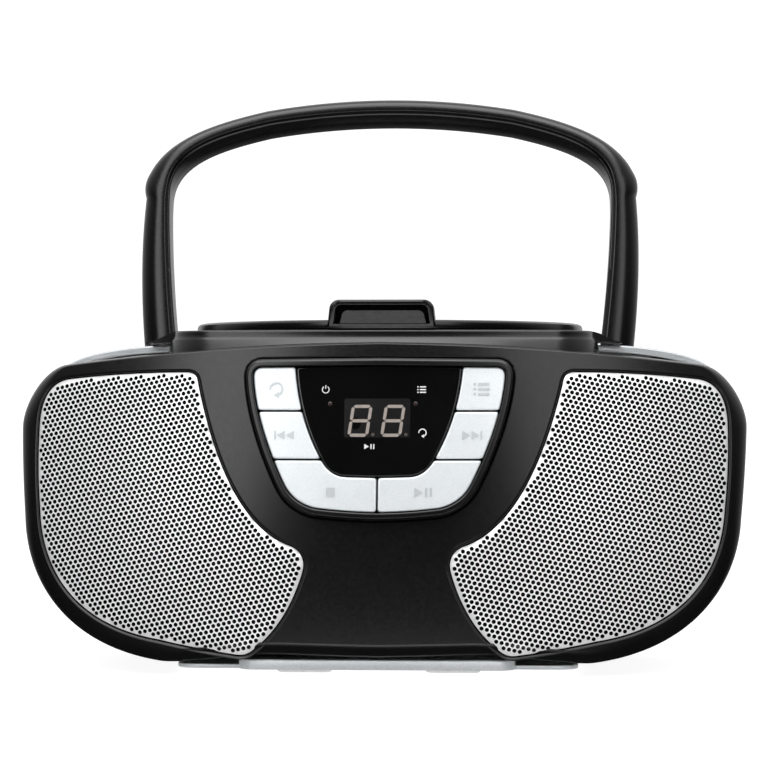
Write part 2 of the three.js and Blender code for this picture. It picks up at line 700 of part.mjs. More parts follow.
add("cd_chassis", chassis(), innerPlastic);
add("spindle_motor", rod("z", 12, 78, 89.7, [0, LID_Y], 24), steel);
add("turntable", turntable(), innerPlastic);
add("laser_sled", sled(), innerPlastic);
add(
  "sled_gear",
  cut(
    rod("z", GEAR_RADIUS, 92.6, 95.6, [SLED_HALF + GAP + GEAR_RADIUS, 80], 24),
    rod("z", 1.7, 92, 97, [SLED_HALF + GAP + GEAR_RADIUS, 80], 12),
  ),
  finish(0xe8e6df, 0.5),
);
add("sled_motor", rod("z", 6, 78, 89.7, [SLED_HALF + GAP + GEAR_RADIUS, 80], 16), steel);
add("guide_rod_left", rod("y", 1.5, 44.7, 95.7, [-9, 94.9], 12), steel);
add("guide_rod_right", rod("y", 1.5, 44.7, 95.7, [9, 94.9], 12), steel);

// ---- boards, supply and battery bay ----

function mainBoard() {
  return join(
    box(-58, 26, 86, 126, 12, 13.6),
    box(-50, -30, 96, 116, 13.4, 16),
    rod("z", 6, 13.4, 30, [-14, 100], 16),
    rod("z", 6, 13.4, 30, [2, 100], 16),
    box(-22, 20, 114, 117, 13.4, 36),
  );
}

function transformer() {
  const [x0, x1, y0, y1] = [46, 80, 120, 158];
  return join(box(x0, x1, y0 + 8, y1 - 8, 10, 46), box(x0 + 5, x1 - 5, y0, y1, 17, 39));
}

function batteryTray() {
  const [half, rear] = [BAY_HALF + 2, BACK_Y - WALL - GAP];
  const outer = box(-half, half, TRAY_FRONT_Y, rear, BAY_Z[0] - 2, BAY_Z[1] + 2);
  const inner = box(3 - half, half - 3, TRAY_FRONT_Y + 2, BACK_Y, BAY_Z[0] + 0.6, BAY_Z[1] - 1);
  return cut(outer, inner);
}

function batteryDoor() {
  const outline = roundedRectangle(0.4 - BAY_HALF, BAY_HALF - 0.4, BAY_Z[0], BAY_Z[1] - 0.4, 1.2, 3);
  const grip = roundedRectangle(-12, 12, BAY_Z[1] - 9, BAY_Z[1] - 4, 2, 3);
  const plate = stack(outline, [[0, BACK_Y - 2.2], [0, BACK_Y - 0.3], [0.4, BACK_Y]]);
  return cut(plate, stack(grip, [[0, BACK_Y - 1], [0, BACK_Y + 1]]));
}

function inlet() {
  const body = box(48, 72, 184, BACK_Y + 0.4, 77, 90);
  return cut(
    body,
    rod("y", 3.8, 189, BACK_Y + 1, [56.4, 83.5], 16),
    rod("y", 3.8, 189, BACK_Y + 1, [63.6, 83.5], 16),
    box(56.4, 63.6, 189, BACK_Y + 1, 80.6, 86.4),
  );
}

function jack() {
  return cut(box(-80, -68, 186, BACK_Y + 0.4, 78, 90), rod("y", 1.85, 188, BACK_Y + 1, [-74, 84], 16));
}

add("main_board", mainBoard(), board);
add("transformer", transformer(), copper);
add("battery_tray", batteryTray(), innerPlastic);
add("battery_door", batteryDoor(), silverShell);
add("battery_contact_left", box(-75.7, -74.9, 174, 194, 19, 65), brass);
add("battery_contact_right", box(74.9, 75.7, 174, 194, 19, 65), brass);
add("ac_inlet", inlet(), innerPlastic);
add("headphone_jack", jack(), innerPlastic);
add("ferrite_aerial", rod("x", 4.5, -52, 52, [150, 86], 16), ferrite);

// ---- side controls ----

function knob(side) {
  const [face, tip] = [SIDE_PANEL_X + GAP, 118.4];
  const rim = acrossRod(side, 15, face, tip - 1, [KNOB_Y, KNOB_Z]);
  const crown = acrossRod(side, 13.8, tip - 1.2, tip, [KNOB_Y, KNOB_Z]);
  return join(rim, crown, acrossRod(side, 3, 103, face + 1, [KNOB_Y, KNOB_Z]));
}

function slider(side) {
  const middle = KNOB_Z - SLIDER_TRAVEL / 2;
  return join(
    acrossBox(side, SIDE_PANEL_X + GAP, 113.6, SLIDER_Y - 4, SLIDER_Y + 4, middle - 4, middle + 4),
    acrossBox(side, 105, SIDE_PANEL_X + 1, SLIDER_Y - 1.1, SLIDER_Y + 1.1, middle - 4, middle + 4),
  );
}

add("volume_knob", knob(-1), silverShell);
add("tuning_knob", knob(1), silverShell);
add("function_switch", slider(-1), blackTrim);
add("band_switch", slider(1), blackTrim);

// ---- handle ----

function handleHalf(layers) {
  const arch = stack(handleOutline, layers);
  const kept = join(
    box(-100, 100, -20, 20, 0, 120),
    rod("x", ROOT_RADIUS, -100, 100, [0, 0], 32),
  );
  const holes = rod("x", PIVOT_RADIUS + GAP, -100, 100, [0, 0]);
  return cut(common(arch, kept), holes);
}

const handle = new THREE.Group();
handle.position.set(0, PIVOT_Y, PIVOT_Z);
handle.rotation.x = -HANDLE_LEAN;
player.add(handle);
const deep = HANDLE_HALF_DEPTH;
const frontLayers = [[2, -deep], [0.6, 1.2 - deep], [0, 3.2 - deep], [0, -GAP / 2]];
const rearLayers = frontLayers.map(([inset, y]) => [inset, -y]).reverse();
add("handle_front", handleHalf(frontLayers), blackShell, handle);
add("handle_rear", handleHalf(rearLayers), blackShell, handle);
add("handle_pivot_left", rod("x", PIVOT_RADIUS, -91.4, -70.4, [PIVOT_Y, PIVOT_Z]), steel);
add("handle_pivot_right", rod("x", PIVOT_RADIUS, 70.4, 91.4, [PIVOT_Y, PIVOT_Z]), steel);

// ---- antenna, folded along the back ----

function clevis() {
  const [x, y, z] = [ANTENNA_X, ANTENNA_Y, ANTENNA_Z];
  const block = box(x - 4.6, x + 5, BACK_Y + 0.4, y + 3.2, z - 4.8, z + 4.8);
  const slot = box(x - 8, x + 3.6, BACK_Y - 3, y + 8, z - 3.1, z + 3.1);
  const collar = rod("y", 4, BACK_Y + 0.4, y - 3.1, [x, z]);
  return join(cut(block, slot), collar, rod("y", STUD_RADIUS, BACK_Y - 4, BACK_Y + 0.6, [x, z]));
}

function mast() {
  const far = ANTENNA_X - MAST_LENGTH;
  const tube = rod("x", 2.8, far, ANTENNA_X + 1.2, [ANTENNA_Y, ANTENNA_Z], 16);
  return cut(tube, rod("x", 2, far - 1, ANTENNA_X - 20, [ANTENNA_Y, ANTENNA_Z], 16));
}

function innerRod() {
  const far = ANTENNA_X - MAST_LENGTH;
  return join(
    rod("x", 1.6, far - 2, ANTENNA_X - 22, [ANTENNA_Y, ANTENNA_Z], 12),
    rod("x", 2.8, far - 5, far - GAP, [ANTENNA_Y, ANTENNA_Z], 16),
  );
}

add("antenna_clevis", clevis(), blackTrim);
add("antenna_mast", mast(), steel);
add("antenna_rod", innerRod(), steel);

// ---- feet ----

function foot(x, y, halfWidth, halfDepth) {
  return stackUp(roundedRectangle(x - halfWidth, x + halfWidth, y - halfDepth, y + halfDepth, 3), [
    [0.5, 0], [0, 0.6], [0, BASE_Z - GAP],
  ]);
}

add("foot_front_left", foot(-24, 26, 9, 5), rubber);
add("foot_front_right", foot(24, 26, 9, 5), rubber);
add("foot_rear_left", foot(-62, 172, 9, 9), rubber);
add("foot_rear_right", foot(62, 172, 9, 9), rubber);

// ---- centred over the footprint ----

const extent = new THREE.Box3().setFromObject(player, true);
player.position.y = -(extent.min.y + extent.max.y) / 2;
player.updateMatrixWorld(true);

export default player;
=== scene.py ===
"""The looks of the portable CD and radio player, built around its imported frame.

Sizes are in millimetres, in the frame's own directions: X to the right, Y to the back, Z up.
Y counts from the front of the bowed face, and to_world() turns a point into the frame's metres.
"""

import json
import math

import bpy
import numpy as np
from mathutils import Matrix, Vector
from mathutils.geometry import delaunay_2d_cdt


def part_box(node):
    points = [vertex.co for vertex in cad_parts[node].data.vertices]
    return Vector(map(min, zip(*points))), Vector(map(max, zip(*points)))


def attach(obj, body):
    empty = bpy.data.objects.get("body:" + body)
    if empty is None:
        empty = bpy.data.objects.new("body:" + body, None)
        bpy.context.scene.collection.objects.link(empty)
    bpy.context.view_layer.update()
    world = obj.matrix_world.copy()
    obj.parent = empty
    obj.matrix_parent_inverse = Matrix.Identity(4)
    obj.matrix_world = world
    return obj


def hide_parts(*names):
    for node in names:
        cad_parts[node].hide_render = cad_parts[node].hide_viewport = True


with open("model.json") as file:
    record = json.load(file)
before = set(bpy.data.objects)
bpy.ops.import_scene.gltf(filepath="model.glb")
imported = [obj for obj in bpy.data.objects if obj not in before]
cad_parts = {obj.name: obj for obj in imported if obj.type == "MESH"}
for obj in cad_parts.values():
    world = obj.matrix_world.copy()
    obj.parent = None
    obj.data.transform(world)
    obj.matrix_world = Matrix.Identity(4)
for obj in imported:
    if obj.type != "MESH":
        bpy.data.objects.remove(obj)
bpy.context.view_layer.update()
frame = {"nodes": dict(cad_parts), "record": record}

MM = 0.001

# The bowed face and the cabinet
SWEEP_RADIUS = 280
LEAN = 0.155
LEAN_CURVE = 0.00125
FACE_DEPTH = 6
SPLIT_Y = 74
BACK_Y = 200
BASE_Z = 2.6
SHOULDER_Z = 106.4
WALL = 2.5

# The lid, the disc well and the mechanism
LID_Y = 112
LID_RADIUS = 69
LID_Z = 111.1
WELL_HOLE = 67.7
HINGE = (186, 113.2)
HOOD_WIDTH = 36
HOOD_TOP_Z = 121

# The handle
PIVOT = (95, 98)
HANDLE_LEAN = math.radians(18)
HANDLE_HALF_DEPTH = 7
ROOT_RADIUS = 8
POCKET = (73.2, 90)

# Controls, battery door and antenna
TOP_ROW_Z = 84.3
LOW_ROW_Z = 68.8
BUTTON_GAP = 0.3
SIDE_PANEL_X = 110.2
KNOB = (120, 60)
SLIDER_Y = 147
SLIDER_Z = 55
BAY_HALF = 77
BAY_Z = (15, 69)
SOCKET_Z = 83.5
ANTENNA = (86, 204.4, 94)
MAST_LENGTH = 170

SIDES = ((-1, "left"), (1, "right"))

# The cabinet's back is the battery door's outer face.
SHIFT_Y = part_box("battery_door")[1].y / MM - BACK_Y


# ---- outlines: arrays of points in two directions, counter-clockwise ----


class Path:
    """A chain of lines and Bezier curves, sampled as it is drawn."""

    def __init__(self, x, z):
        self.points = [np.array((x, z), float)]

    def line(self, x, z, steps=12):
        start, end = self.points[-1], np.array((x, z), float)
        return self.cubic(*(start * 2 + end) / 3, *(start + end * 2) / 3, x, z, steps)

    def quad(self, cx, cz, x, z, steps=24):
        control = np.array((cx, cz), float)
        start, end = self.points[-1], np.array((x, z), float)
        a, b = start + (control - start) * 2 / 3, end + (control - end) * 2 / 3
        return self.cubic(*a, *b, x, z, steps)

    def cubic(self, ax, az, bx, bz, x, z, steps=32):
        start = self.points[-1]
        a, b, end = np.array(((ax, az), (bx, bz), (x, z)), float)
        for t in np.linspace(0, 1, steps + 1)[1:]:
            s = 1 - t
            self.points.append(s**3 * start + 3 * s * s * t * a + 3 * s * t * t * b + t**3 * end)
        return self

    def array(self):
        return np.array(self.points)


def mirrored(half):
    """A closed outline from its right half, drawn from the bottom centre to the top centre."""
    left = half[half[:, 0] > 1e-6][::-1] * (-1, 1)
    return np.vstack([half, left])


def flipped(outline):
    return outline[::-1] * (-1, 1)


def resampled(loop, spacing):
    closed = np.vstack([loop, loop[:1]])
    lengths = np.r_[0, np.cumsum(np.linalg.norm(np.diff(closed, axis=0), axis=1))]
    count = max(8, int(round(lengths[-1] / spacing)))
    at = np.arange(count) * lengths[-1] / count
    return np.stack([np.interp(at, lengths, closed[:, k]) for k in range(2)], axis=1)


def eased(loop, rounds):
    """Corners rounded by averaging each point with its neighbours."""
    for _ in range(rounds):
        loop = (np.roll(loop, 1, axis=0) + 2 * loop + np.roll(loop, -1, axis=0)) / 4
    return loop


def inset(loop, distance):
    """Each point moved to the left of the loop's direction, which is inwards on a counter-clockwise loop.

    The distance is one number, or one for each point.
    """
    distance = np.broadcast_to(distance, len(loop))[:, None]
    a = loop - np.roll(loop, 1, axis=0)
    b = np.roll(loop, -1, axis=0) - loop
    a /= np.linalg.norm(a, axis=1)[:, None]
    b /= np.linalg.norm(b, axis=1)[:, None]
    left = np.stack([-a[:, 1] - b[:, 1], a[:, 0] + b[:, 0]], axis=1)
    spread = np.maximum((left**2).sum(1) / 2, 0.6)[:, None]
    return loop + left * distance / spread


def circle(radius, segments=96, x=0.0, z=0.0):
    turn = np.arange(segments) * 2 * math.pi / segments
    return np.stack([x + radius * np.cos(turn), z + radius * np.sin(turn)], axis=1)


def rounded_rectangle(x0, x1, z0, z1, radius, steps=8):
    corners = [(x1 - radius, z0 + radius, -90), (x1 - radius, z1 - radius, 0)]
    corners += [(x0 + radius, z1 - radius, 90), (x0 + radius, z0 + radius, 180)]
    points = []
    for x, z, start in corners:
        for turn in np.radians(np.linspace(start, start + 90, steps + 1)):
            points.append((x + radius * math.cos(turn), z + radius * math.sin(turn)))
    return np.array(points)


def within(points, loop):
    """Which points lie inside a loop, by counting the sides to their right."""
    x, z = points[:, 0], points[:, 1]
    inside = np.zeros(len(points), bool)
    for (x0, z0), (x1, z1) in zip(loop, np.roll(loop, -1, axis=0)):
        if z0 == z1:
            continue
        crosses = (z0 > z) != (z1 > z)
        inside ^= crosses & (x < (x1 - x0) * (z - z0) / (z1 - z0) + x0)
    return inside


def nearest(points, loop):
    """Each point's distance to the nearest corner of a loop."""
    best = np.full(len(points), np.inf)
    for start in range(0, len(loop), 200):
        part = loop[start : start + 200]
        best = np.minimum(best, np.linalg.norm(points[:, None] - part[None], axis=2).min(1))
    return best


# ---- surfaces ----


def front_y(x, z):
    return SWEEP_RADIUS - np.sqrt(SWEEP_RADIUS**2 - x * x) + LEAN * z + LEAN_CURVE * z * z


def bowed(points):
    """Points behind the flat face, moved to follow its bow; the rear edge stays flat."""
    x, y, z = points.T
    face = front_y(x, z)
    share = np.clip((y - FACE_DEPTH) / (SPLIT_Y - FACE_DEPTH), 0, 2)
    deep = (face + FACE_DEPTH) * (1 - share) + SPLIT_Y * share
    return np.stack([x, np.where(y <= FACE_DEPTH, face + y, deep), z], axis=1)


def has_area(corners):
    """Which triangles are more than a sliver left over between points in a line."""
    a, b = corners[:, 1] - corners[:, 0], corners[:, 2] - corners[:, 0]
    return abs(a[:, 0] * b[:, 1] - a[:, 1] * b[:, 0]) > 2e-5


def fill(loops, spacing):
    """Triangles over the area inside the first loop and outside the others; returns the added points too."""
    rim = np.vstack(loops)
    low, high = loops[0].min(0), loops[0].max(0)
    rows = np.arange(low[1], high[1], spacing * 0.866)
    columns = np.arange(low[0], high[0], spacing)
    grid = [(x + (i % 2) * spacing / 2, z) for i, z in enumerate(rows) for x in columns]
    grid = np.array(grid) if grid else np.zeros((0, 2))
    if len(grid):
        keep = within(grid, loops[0])
        for hole in loops[1:]:
            keep &= ~within(grid, hole)
        grid = grid[keep]
    if len(grid):
        grid = grid[nearest(grid, rim) > spacing * 0.6]
    edges, start = [], 0
    for loop in loops:
        n = len(loop)
        edges += [(start + i, start + (i + 1) % n) for i in range(n)]
        start += n
    everything = np.vstack([rim, grid])
    found = delaunay_2d_cdt([tuple(p) for p in everything], edges, [], 0, 1e-7)
    names, extra = [], []
    for place, original in zip(found[0], found[3]):
        if not original:
            extra.append(tuple(place))
            original = [len(everything) + len(extra) - 1]
        names.append(original[0])
    if extra:
        grid = np.vstack([grid, extra])
        everything = np.vstack([everything, extra])
    faces = np.array([[names[i] for i in face] for face in found[2]])
    middles = everything[faces].mean(1)
    keep = within(middles, loops[0]) & has_area(everything[faces])
    for hole in loops[1:]:
        keep &= ~within(middles, hole)
    return grid, faces[keep]


def plate(loops, profile, spacing, softness=1.0):
    """A plate whose edge follows a profile of (inset, y) from the back to the front.

    The first loop is its outer edge, counter-clockwise, and the others are openings, clockwise.
    A profile may be one list, or one for each loop. Softness scales the first loop's insets, and
    may differ from point to point. Returns points (x, y, z) and faces.
    """
    profiles = profile if isinstance(profile[0], list) else [profile] * len(loops)
    points, faces, fronts, backs = [], [], [], []
    start = 0
    for loop, steps in zip(loops, profiles):
        n = len(loop)
        scale = softness if loop is loops[0] else 1.0
        for depth, y in steps:
            ring = inset(loop, depth * scale)
            points.append(np.stack([ring[:, 0], np.full(n, y), ring[:, 1]], axis=1))
        for k in range(len(steps) - 1):
            a, b = start + k * n, start + (k + 1) * n
            faces += [(b + i, a + i, a + (i + 1) % n, b + (i + 1) % n) for i in range(n)]
        fronts.append((start + (len(steps) - 1) * n, inset(loop, steps[-1][0] * scale), steps[-1][1]))
        backs.append((start, inset(loop, steps[0][0] * scale), steps[0][1]))
        start += n * len(steps)
    for rings in (fronts, backs):
        grid, triangles = fill([ring for _, ring, _ in rings], spacing * (3 if rings is backs else 1))
        names = np.concatenate([first + np.arange(len(ring)) for first, ring, _ in rings])
        names = np.r_[names, start + np.arange(len(grid))]
        points.append(np.stack([grid[:, 0], np.full(len(grid), rings[0][2]), grid[:, 1]], axis=1))
        start += len(grid)
        order = triangles[:, ::-1] if rings is backs else triangles
        faces += [tuple(t) for t in names[order]]
    return np.vstack(points), faces


def loft(rings):
    """Rings with the same number of points, joined in order, with a fan of one face at each end."""
    n = len(rings[0])
    faces = []
    for k in range(len(rings) - 1):
        a, b = k * n, (k + 1) * n
        faces += [(a + i, b + i, b + (i + 1) % n, a + (i + 1) % n) for i in range(n)]
    faces.append(tuple(range(n)))
    faces.append(tuple((len(rings) - 1) * n + i for i in reversed(range(n))))
    return np.vstack(rings), faces


def raised(loop, layers):
    """A plan outline in X and Y stacked upwards; each layer is (inset, z)."""
    clockwise = loop[::-1]
    rings = [inset(clockwise, -depth) for depth, _ in layers]
    return loft([np.column_stack([r, np.full(len(r), z)]) for r, (_, z) in zip(rings, layers)])


def turned(profile, segments=64):
    """A solid of revolution about Z from (radius, z) points, closed where the radius is zero."""
    points, faces, rows = [], [], []
    for radius, z in profile:
        if radius < 1e-6:
            rows.append([len(points)] * segments)
            points.append((0, 0, z))
            continue
        rows.append([len(points) + i for i in range(segments)])
        turn = np.arange(segments) * 2 * math.pi / segments
        points += [(radius * math.cos(t), radius * math.sin(t), z) for t in turn]
    for low, high in zip(rows, rows[1:]):
        for i in range(segments):
            j = (i + 1) % segments
            face = list(dict.fromkeys((low[i], low[j], high[j], high[i])))
            if len(face) > 2:
                faces.append(tuple(face))
    return np.array(points, float), faces


def fillet(radius, y, steps=5, lift=None, hold=0.15):
    """Steps of a rounded front edge, from its side at depth y + radius to its face at depth y.

    The last step lies on the face, and keeps the rounding's shading off it.
    """
    tall = radius if lift is None else lift
    turns = np.linspace(0, math.pi / 2, steps + 1)
    rounding = [(radius * (1 - math.cos(t)), y + tall * (1 - math.sin(t))) for t in turns]
    return rounding + [(radius + hold, y)]


# ---- placing ----


def moved(shape, x=0.0, y=0.0, z=0.0):
    points, faces = shape
    return points + (x, y, z), faces


def along_x(shape):
    """A shape built about Z, laid along X."""
    points, faces = shape
    x, y, z = points.T
    return np.stack([z, x, y], axis=1), faces


def along_y(shape):
    """A shape built about Z, laid along Y."""
    points, faces = shape
    x, y, z = points.T
    return np.stack([y, z, x], axis=1), faces


def rod_z(radius, low, high, x=0.0, y=0.0, segments=96):
    return moved(turned([(0, low), (radius, low), (radius, high), (0, high)], segments), x, y)


def rod_y(radius, front, back, x, z, segments=32):
    profile = [(0, front), (radius, front), (radius, back), (0, back)]
    return moved(along_y(turned(profile, segments)), x=x, z=z)


def about_lid(profile, segments):
    """A solid of revolution about the lid's centre line."""
    return moved(turned(profile, segments), y=LID_Y)


def leaned(shape):
    """A shape in the handle's own plane, put on its pivot at its resting lean."""
    points, faces = shape
    x, y, z = points.T
    c, s = math.cos(HANDLE_LEAN), math.sin(HANDLE_LEAN)
    return np.stack([x, PIVOT[0] + y * c + z * s, PIVOT[1] + z * c - y * s], axis=1), faces


def merged(*shapes):
    points, faces, start = [], [], 0
    for p, f in shapes:
        points.append(p)
        faces += [tuple(int(i) + start for i in face) for face in f]
        start += len(p)
    return np.vstack(points), faces


def mirror_x(shape):
    points, faces = shape
    return points * (-1, 1, 1), [tuple(reversed(f)) for f in faces]


def to_world(points):
    return (np.asarray(points, float) + (0, SHIFT_Y, 0)) * MM


def mesh_object(name, shape, sharp=35):
    points, faces = shape
    mesh = bpy.data.meshes.new(name)
    mesh.from_pydata(to_world(points).tolist(), [], [tuple(int(i) for i in f) for f in faces])
    mesh.validate()
    obj = bpy.data.objects.new(name, mesh)
    bpy.context.scene.collection.objects.link(obj)
    smooth(obj, sharp)
    return obj


def smooth(obj, sharp):
    mesh = obj.data
    mesh.shade_smooth()
    mesh.set_sharp_from_angle(angle=math.radians(sharp))


def applied(obj):
    """The object's mesh with its modifiers taken in."""
    graph = bpy.context.evaluated_depsgraph_get()
    mesh = bpy.data.meshes.new_from_object(obj.evaluated_get(graph))
    obj.modifiers.clear()
    old, obj.data = obj.data, mesh
    bpy.data.meshes.remove(old)
    mesh.name = obj.name
    return obj


def carve(obj, *shapes, operation="DIFFERENCE"):
    """Cuts shapes out of an object, or joins them to it."""
    for shape in shapes:
        tool = mesh_object("tool", shape)
        change = obj.modifiers.new("carve", "BOOLEAN")
        change.operation = operation
        change.solver = "EXACT"
        change.object = tool
        applied(obj)
        bpy.data.objects.remove(tool)
    return obj


def bevelled(obj, width, segments=2, angle=40):
    change = obj.modifiers.new("edge", "BEVEL")
    change.width = width * MM
    change.segments = segments
    change.limit_method = "ANGLE"
    change.angle_limit = math.radians(angle)
    change.miter_outer = "MITER_ARC"
    return applied(obj)


def finished(obj, material, body, slot, *nodes, sharp=35):
    """Gives a piece its finish and says what it rides on and which CAD nodes it stands for."""
    smooth(obj, sharp)
    obj.data.materials.clear()
    obj.data.materials.append(material)
    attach(obj, body)
    if nodes:
        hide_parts(*nodes)
    return obj


def block(x0, x1, y0, y1, z0, z1):
    return raised(rounded_rectangle(x0, x1, y0, y1, 0.01, 1), [(0, z0), (0, z1)])


def soft_block(x0, x1, y0, y1, z0, z1, radius, edge):
    """A block with rounded corners in plan and rounded upper and lower edges."""
    rounding = [(edge * (1 - math.cos(t)), edge * (1 - math.sin(t))) for t in np.linspace(0, math.pi / 2, 5)]
    layers = [(depth, z0 + step) for depth, step in rounding[::-1]]
    layers += [(depth, z1 - step) for depth, step in rounding]
    return raised(rounded_rectangle(x0, x1, y0, y1, radius), layers)


def prism_x(outline, x0, x1):
    """A prism along X from (y, z) points, counter-clockwise as seen from the right."""
    flat = np.array(outline, float)
    rings = [np.column_stack([np.full(len(flat), x), flat]) for x in (x1, x0)]
    return loft(rings)


def prism_y(loop, front, back):
    """A prism along Y from (x, z) points, counter-clockwise as seen from the front."""
    points, faces = raised(np.array(loop, float), [(0, front), (0, back)])
    x, z, y = points.T
    return np.stack([x, y, z], axis=1), [tuple(reversed(f)) for f in faces]


def on_side(shape, side):
    return shape if side > 0 else mirror_x(shape)


# ---- materials ----


class Finish:
    """A Principled material with fine colour, gloss and surface variation."""

    def __init__(self, name, roughness, metallic=0.0, coat=0.0, coat_roughness=0.05, specular=0.5):
        self.material = bpy.data.materials.new(name)
        self.material.use_nodes = True
        self.nodes = self.material.node_tree.nodes
        self.links = self.material.node_tree.links
        self.shader = self.nodes["Principled BSDF"]
        self.shader.inputs["Roughness"].default_value = roughness
        self.shader.inputs["Metallic"].default_value = metallic
        self.shader.inputs["Coat Weight"].default_value = coat
        self.shader.inputs["Coat Roughness"].default_value = coat_roughness
        self.shader.inputs["Specular IOR Level"].default_value = specular
        self.place = self.nodes.new("ShaderNodeTexCoord").outputs["Object"]

    def noise(self, scale, detail=3.0, stretch=None):
        node = self.nodes.new("ShaderNodeTexNoise")
        node.inputs["Scale"].default_value = scale
        node.inputs["Detail"].default_value = detail
        source = self.place
        if stretch:
            mapping = self.nodes.new("ShaderNodeMapping")
            mapping.inputs["Scale"].default_value = stretch
            self.links.new(source, mapping.inputs["Vector"])
            source = mapping.outputs["Vector"]
        self.links.new(source, node.inputs["Vector"])
        return node.outputs["Fac"]

    def colour(self, low, high, scale, detail=3.0, stretch=None):
        ramp = self.nodes.new("ShaderNodeValToRGB")
        ramp.color_ramp.elements[0].position = 0.3
        ramp.color_ramp.elements[1].position = 0.7
        ramp.color_ramp.elements[0].color = (*low, 1)
        ramp.color_ramp.elements[1].color = (*high, 1)
        self.links.new(self.noise(scale, detail, stretch), ramp.inputs["Fac"])
        self.links.new(ramp.outputs["Color"], self.shader.inputs["Base Color"])
        return self

    def gloss(self, low, high, scale, detail=4.0, stretch=None):
        spread = self.nodes.new("ShaderNodeMapRange")
        spread.inputs["From Min"].default_value = 0.3
        spread.inputs["From Max"].default_value = 0.7
        spread.inputs["To Min"].default_value = low
        spread.inputs["To Max"].default_value = high
        self.links.new(self.noise(scale, detail, stretch), spread.inputs["Value"])
        self.links.new(spread.outputs["Result"], self.shader.inputs["Roughness"])
        return self

    def grain(self, scale, strength, distance=0.02, stretch=None):
        bump = self.nodes.new("ShaderNodeBump")
        bump.inputs["Strength"].default_value = strength
        bump.inputs["Distance"].default_value = distance * MM
        self.links.new(self.noise(scale, 2.0, stretch), bump.inputs["Height"])
        self.links.new(bump.outputs["Normal"], self.shader.inputs["Normal"])
        return self


def grey(value, tint=(1, 1, 1)):
    return tuple(value * t for t in tint)


COOL = (0.95, 1, 1.03)
PALE_COOL = (0.96, 1, 1.02)


black_satin = Finish("black satin moulding", 0.3, specular=0.45)
black_satin.colour(grey(0.0028), grey(0.0036), 60).gloss(0.21, 0.27, 900).grain(2400, 0.06)
black_gloss = Finish("black gloss moulding", 0.16)
black_gloss.colour(grey(0.005), grey(0.0075), 70).gloss(0.12, 0.2, 120).grain(900, 0.08)
silver_paint = Finish("silver painted moulding", 0.34, metallic=0.35, coat=0.25, coat_roughness=0.2)
silver_paint.colour(grey(0.6, COOL), grey(0.7, PALE_COOL), 2600, 1).gloss(0.3, 0.4, 200)
silver_button = Finish("silver painted buttons", 0.34, metallic=0.3, coat=0.2, coat_roughness=0.25)
silver_button.colour(grey(0.74, COOL), grey(0.84, PALE_COOL), 3200, 1).gloss(0.32, 0.42, 400).grain(3000, 0.12, 0.01)
# The symbols share the button's silver; their darker grey is painted shade standing in for the shading along their
# raised edges.
shaded_symbol_finish = Finish("embossed symbols", 0.4, metallic=0.3)
shaded_symbol_finish.colour(grey(0.52, COOL), grey(0.6, COOL), 2000)
grille_steel = Finish("silver coated sheet steel", 0.36, metallic=0.35, coat=0.2, coat_roughness=0.3)
grille_steel.colour(grey(0.8), grey(0.89), 500).gloss(0.3, 0.42, 700).grain(2200, 0.15, 0.01)
cloth_black = Finish("black speaker cloth", 0.95, specular=0.1)
cloth_black.colour(grey(0.0015), grey(0.003), 900)
lens_black = Finish("smoked acrylic", 0.05, coat=0.6, coat_roughness=0.02)
lens_black.colour(grey(0.0022), grey(0.0034), 40).gloss(0.03, 0.07, 60)
window_grey = Finish("display window", 0.25, coat=0.4)
window_grey.colour((0.005, 0.005, 0.005), (0.008, 0.0075, 0.0075), 300)
segment_grey = Finish("unlit segments", 0.35, coat=0.4)
segment_grey.colour((0.27, 0.235, 0.21), (0.33, 0.29, 0.26), 900)
segment_dark = Finish("unlit points", 0.35, coat=0.4)
segment_dark.colour((0.05, 0.045, 0.04), (0.07, 0.065, 0.06), 900)
print_white = Finish("white printing", 0.5)
print_white.colour(grey(0.6), grey(0.75), 1500)
print_dark = Finish("dark printing", 0.5)
print_dark.colour(grey(0.02), grey(0.035), 1500)
lamp_red = Finish("unlit red lamp", 0.2, coat=0.6)
lamp_red.colour((0.02, 0.012, 0.012), (0.03, 0.016, 0.015), 1200)
inner_black = Finish("textured inner moulding", 0.5)
inner_black.colour(grey(0.012), grey(0.018), 200).gloss(0.42, 0.58, 300).grain(1100, 0.5, 0.04)
rubber_grey = Finish("pale rubber feet", 0.7)
rubber_grey.colour(grey(0.6), grey(0.68), 400).grain(900, 0.4, 0.04)
rubber_black = Finish("moulded rubber", 0.8)
rubber_black.colour(grey(0.01), grey(0.016), 400).gloss(0.7, 0.9, 300).grain(900, 0.6, 0.05)
bright_steel = Finish("bright steel", 0.22, metallic=1.0)
bright_steel.colour(grey(0.5), grey(0.62), 150).gloss(0.18, 0.32, 300, stretch=(1, 8, 8))
chrome = Finish("polished chrome", 0.08, metallic=1.0)
chrome.colour(grey(0.72), grey(0.8), 60).gloss(0.05, 0.12, 250, stretch=(0.2, 4, 4))
board_green = Finish("circuit board", 0.4, coat=0.3)
board_green.colour((0.006, 0.05, 0.018), (0.012, 0.1, 0.034), 260, 1)
cone_paper = Finish("pressed paper", 0.85)
cone_paper.colour(grey(0.012), grey(0.024), 500).grain(700, 0.8, 0.08)
ferrite_grey = Finish("sintered ferrite", 0.6)
ferrite_grey.colour(grey(0.025), grey(0.045), 300).grain(600, 0.4, 0.04)
copper_wound = Finish("taped winding", 0.5)
copper_wound.colour((0.16, 0.07, 0.02), (0.26, 0.12, 0.04), 120, stretch=(1, 1, 12))
copper_wound.grain(400, 0.5, 0.05, stretch=(1, 1, 10))
gear_white = Finish("natural acetal", 0.4)
gear_white.colour(grey(0.62, (1, 0.98, 0.92)), grey(0.7, (1, 0.98, 0.93)), 200)
brass_plate = Finish("plated brass", 0.25, metallic=1.0)
brass_plate.colour((0.55, 0.38, 0.13), (0.66, 0.46, 0.18), 200).gloss(0.2, 0.35, 400)
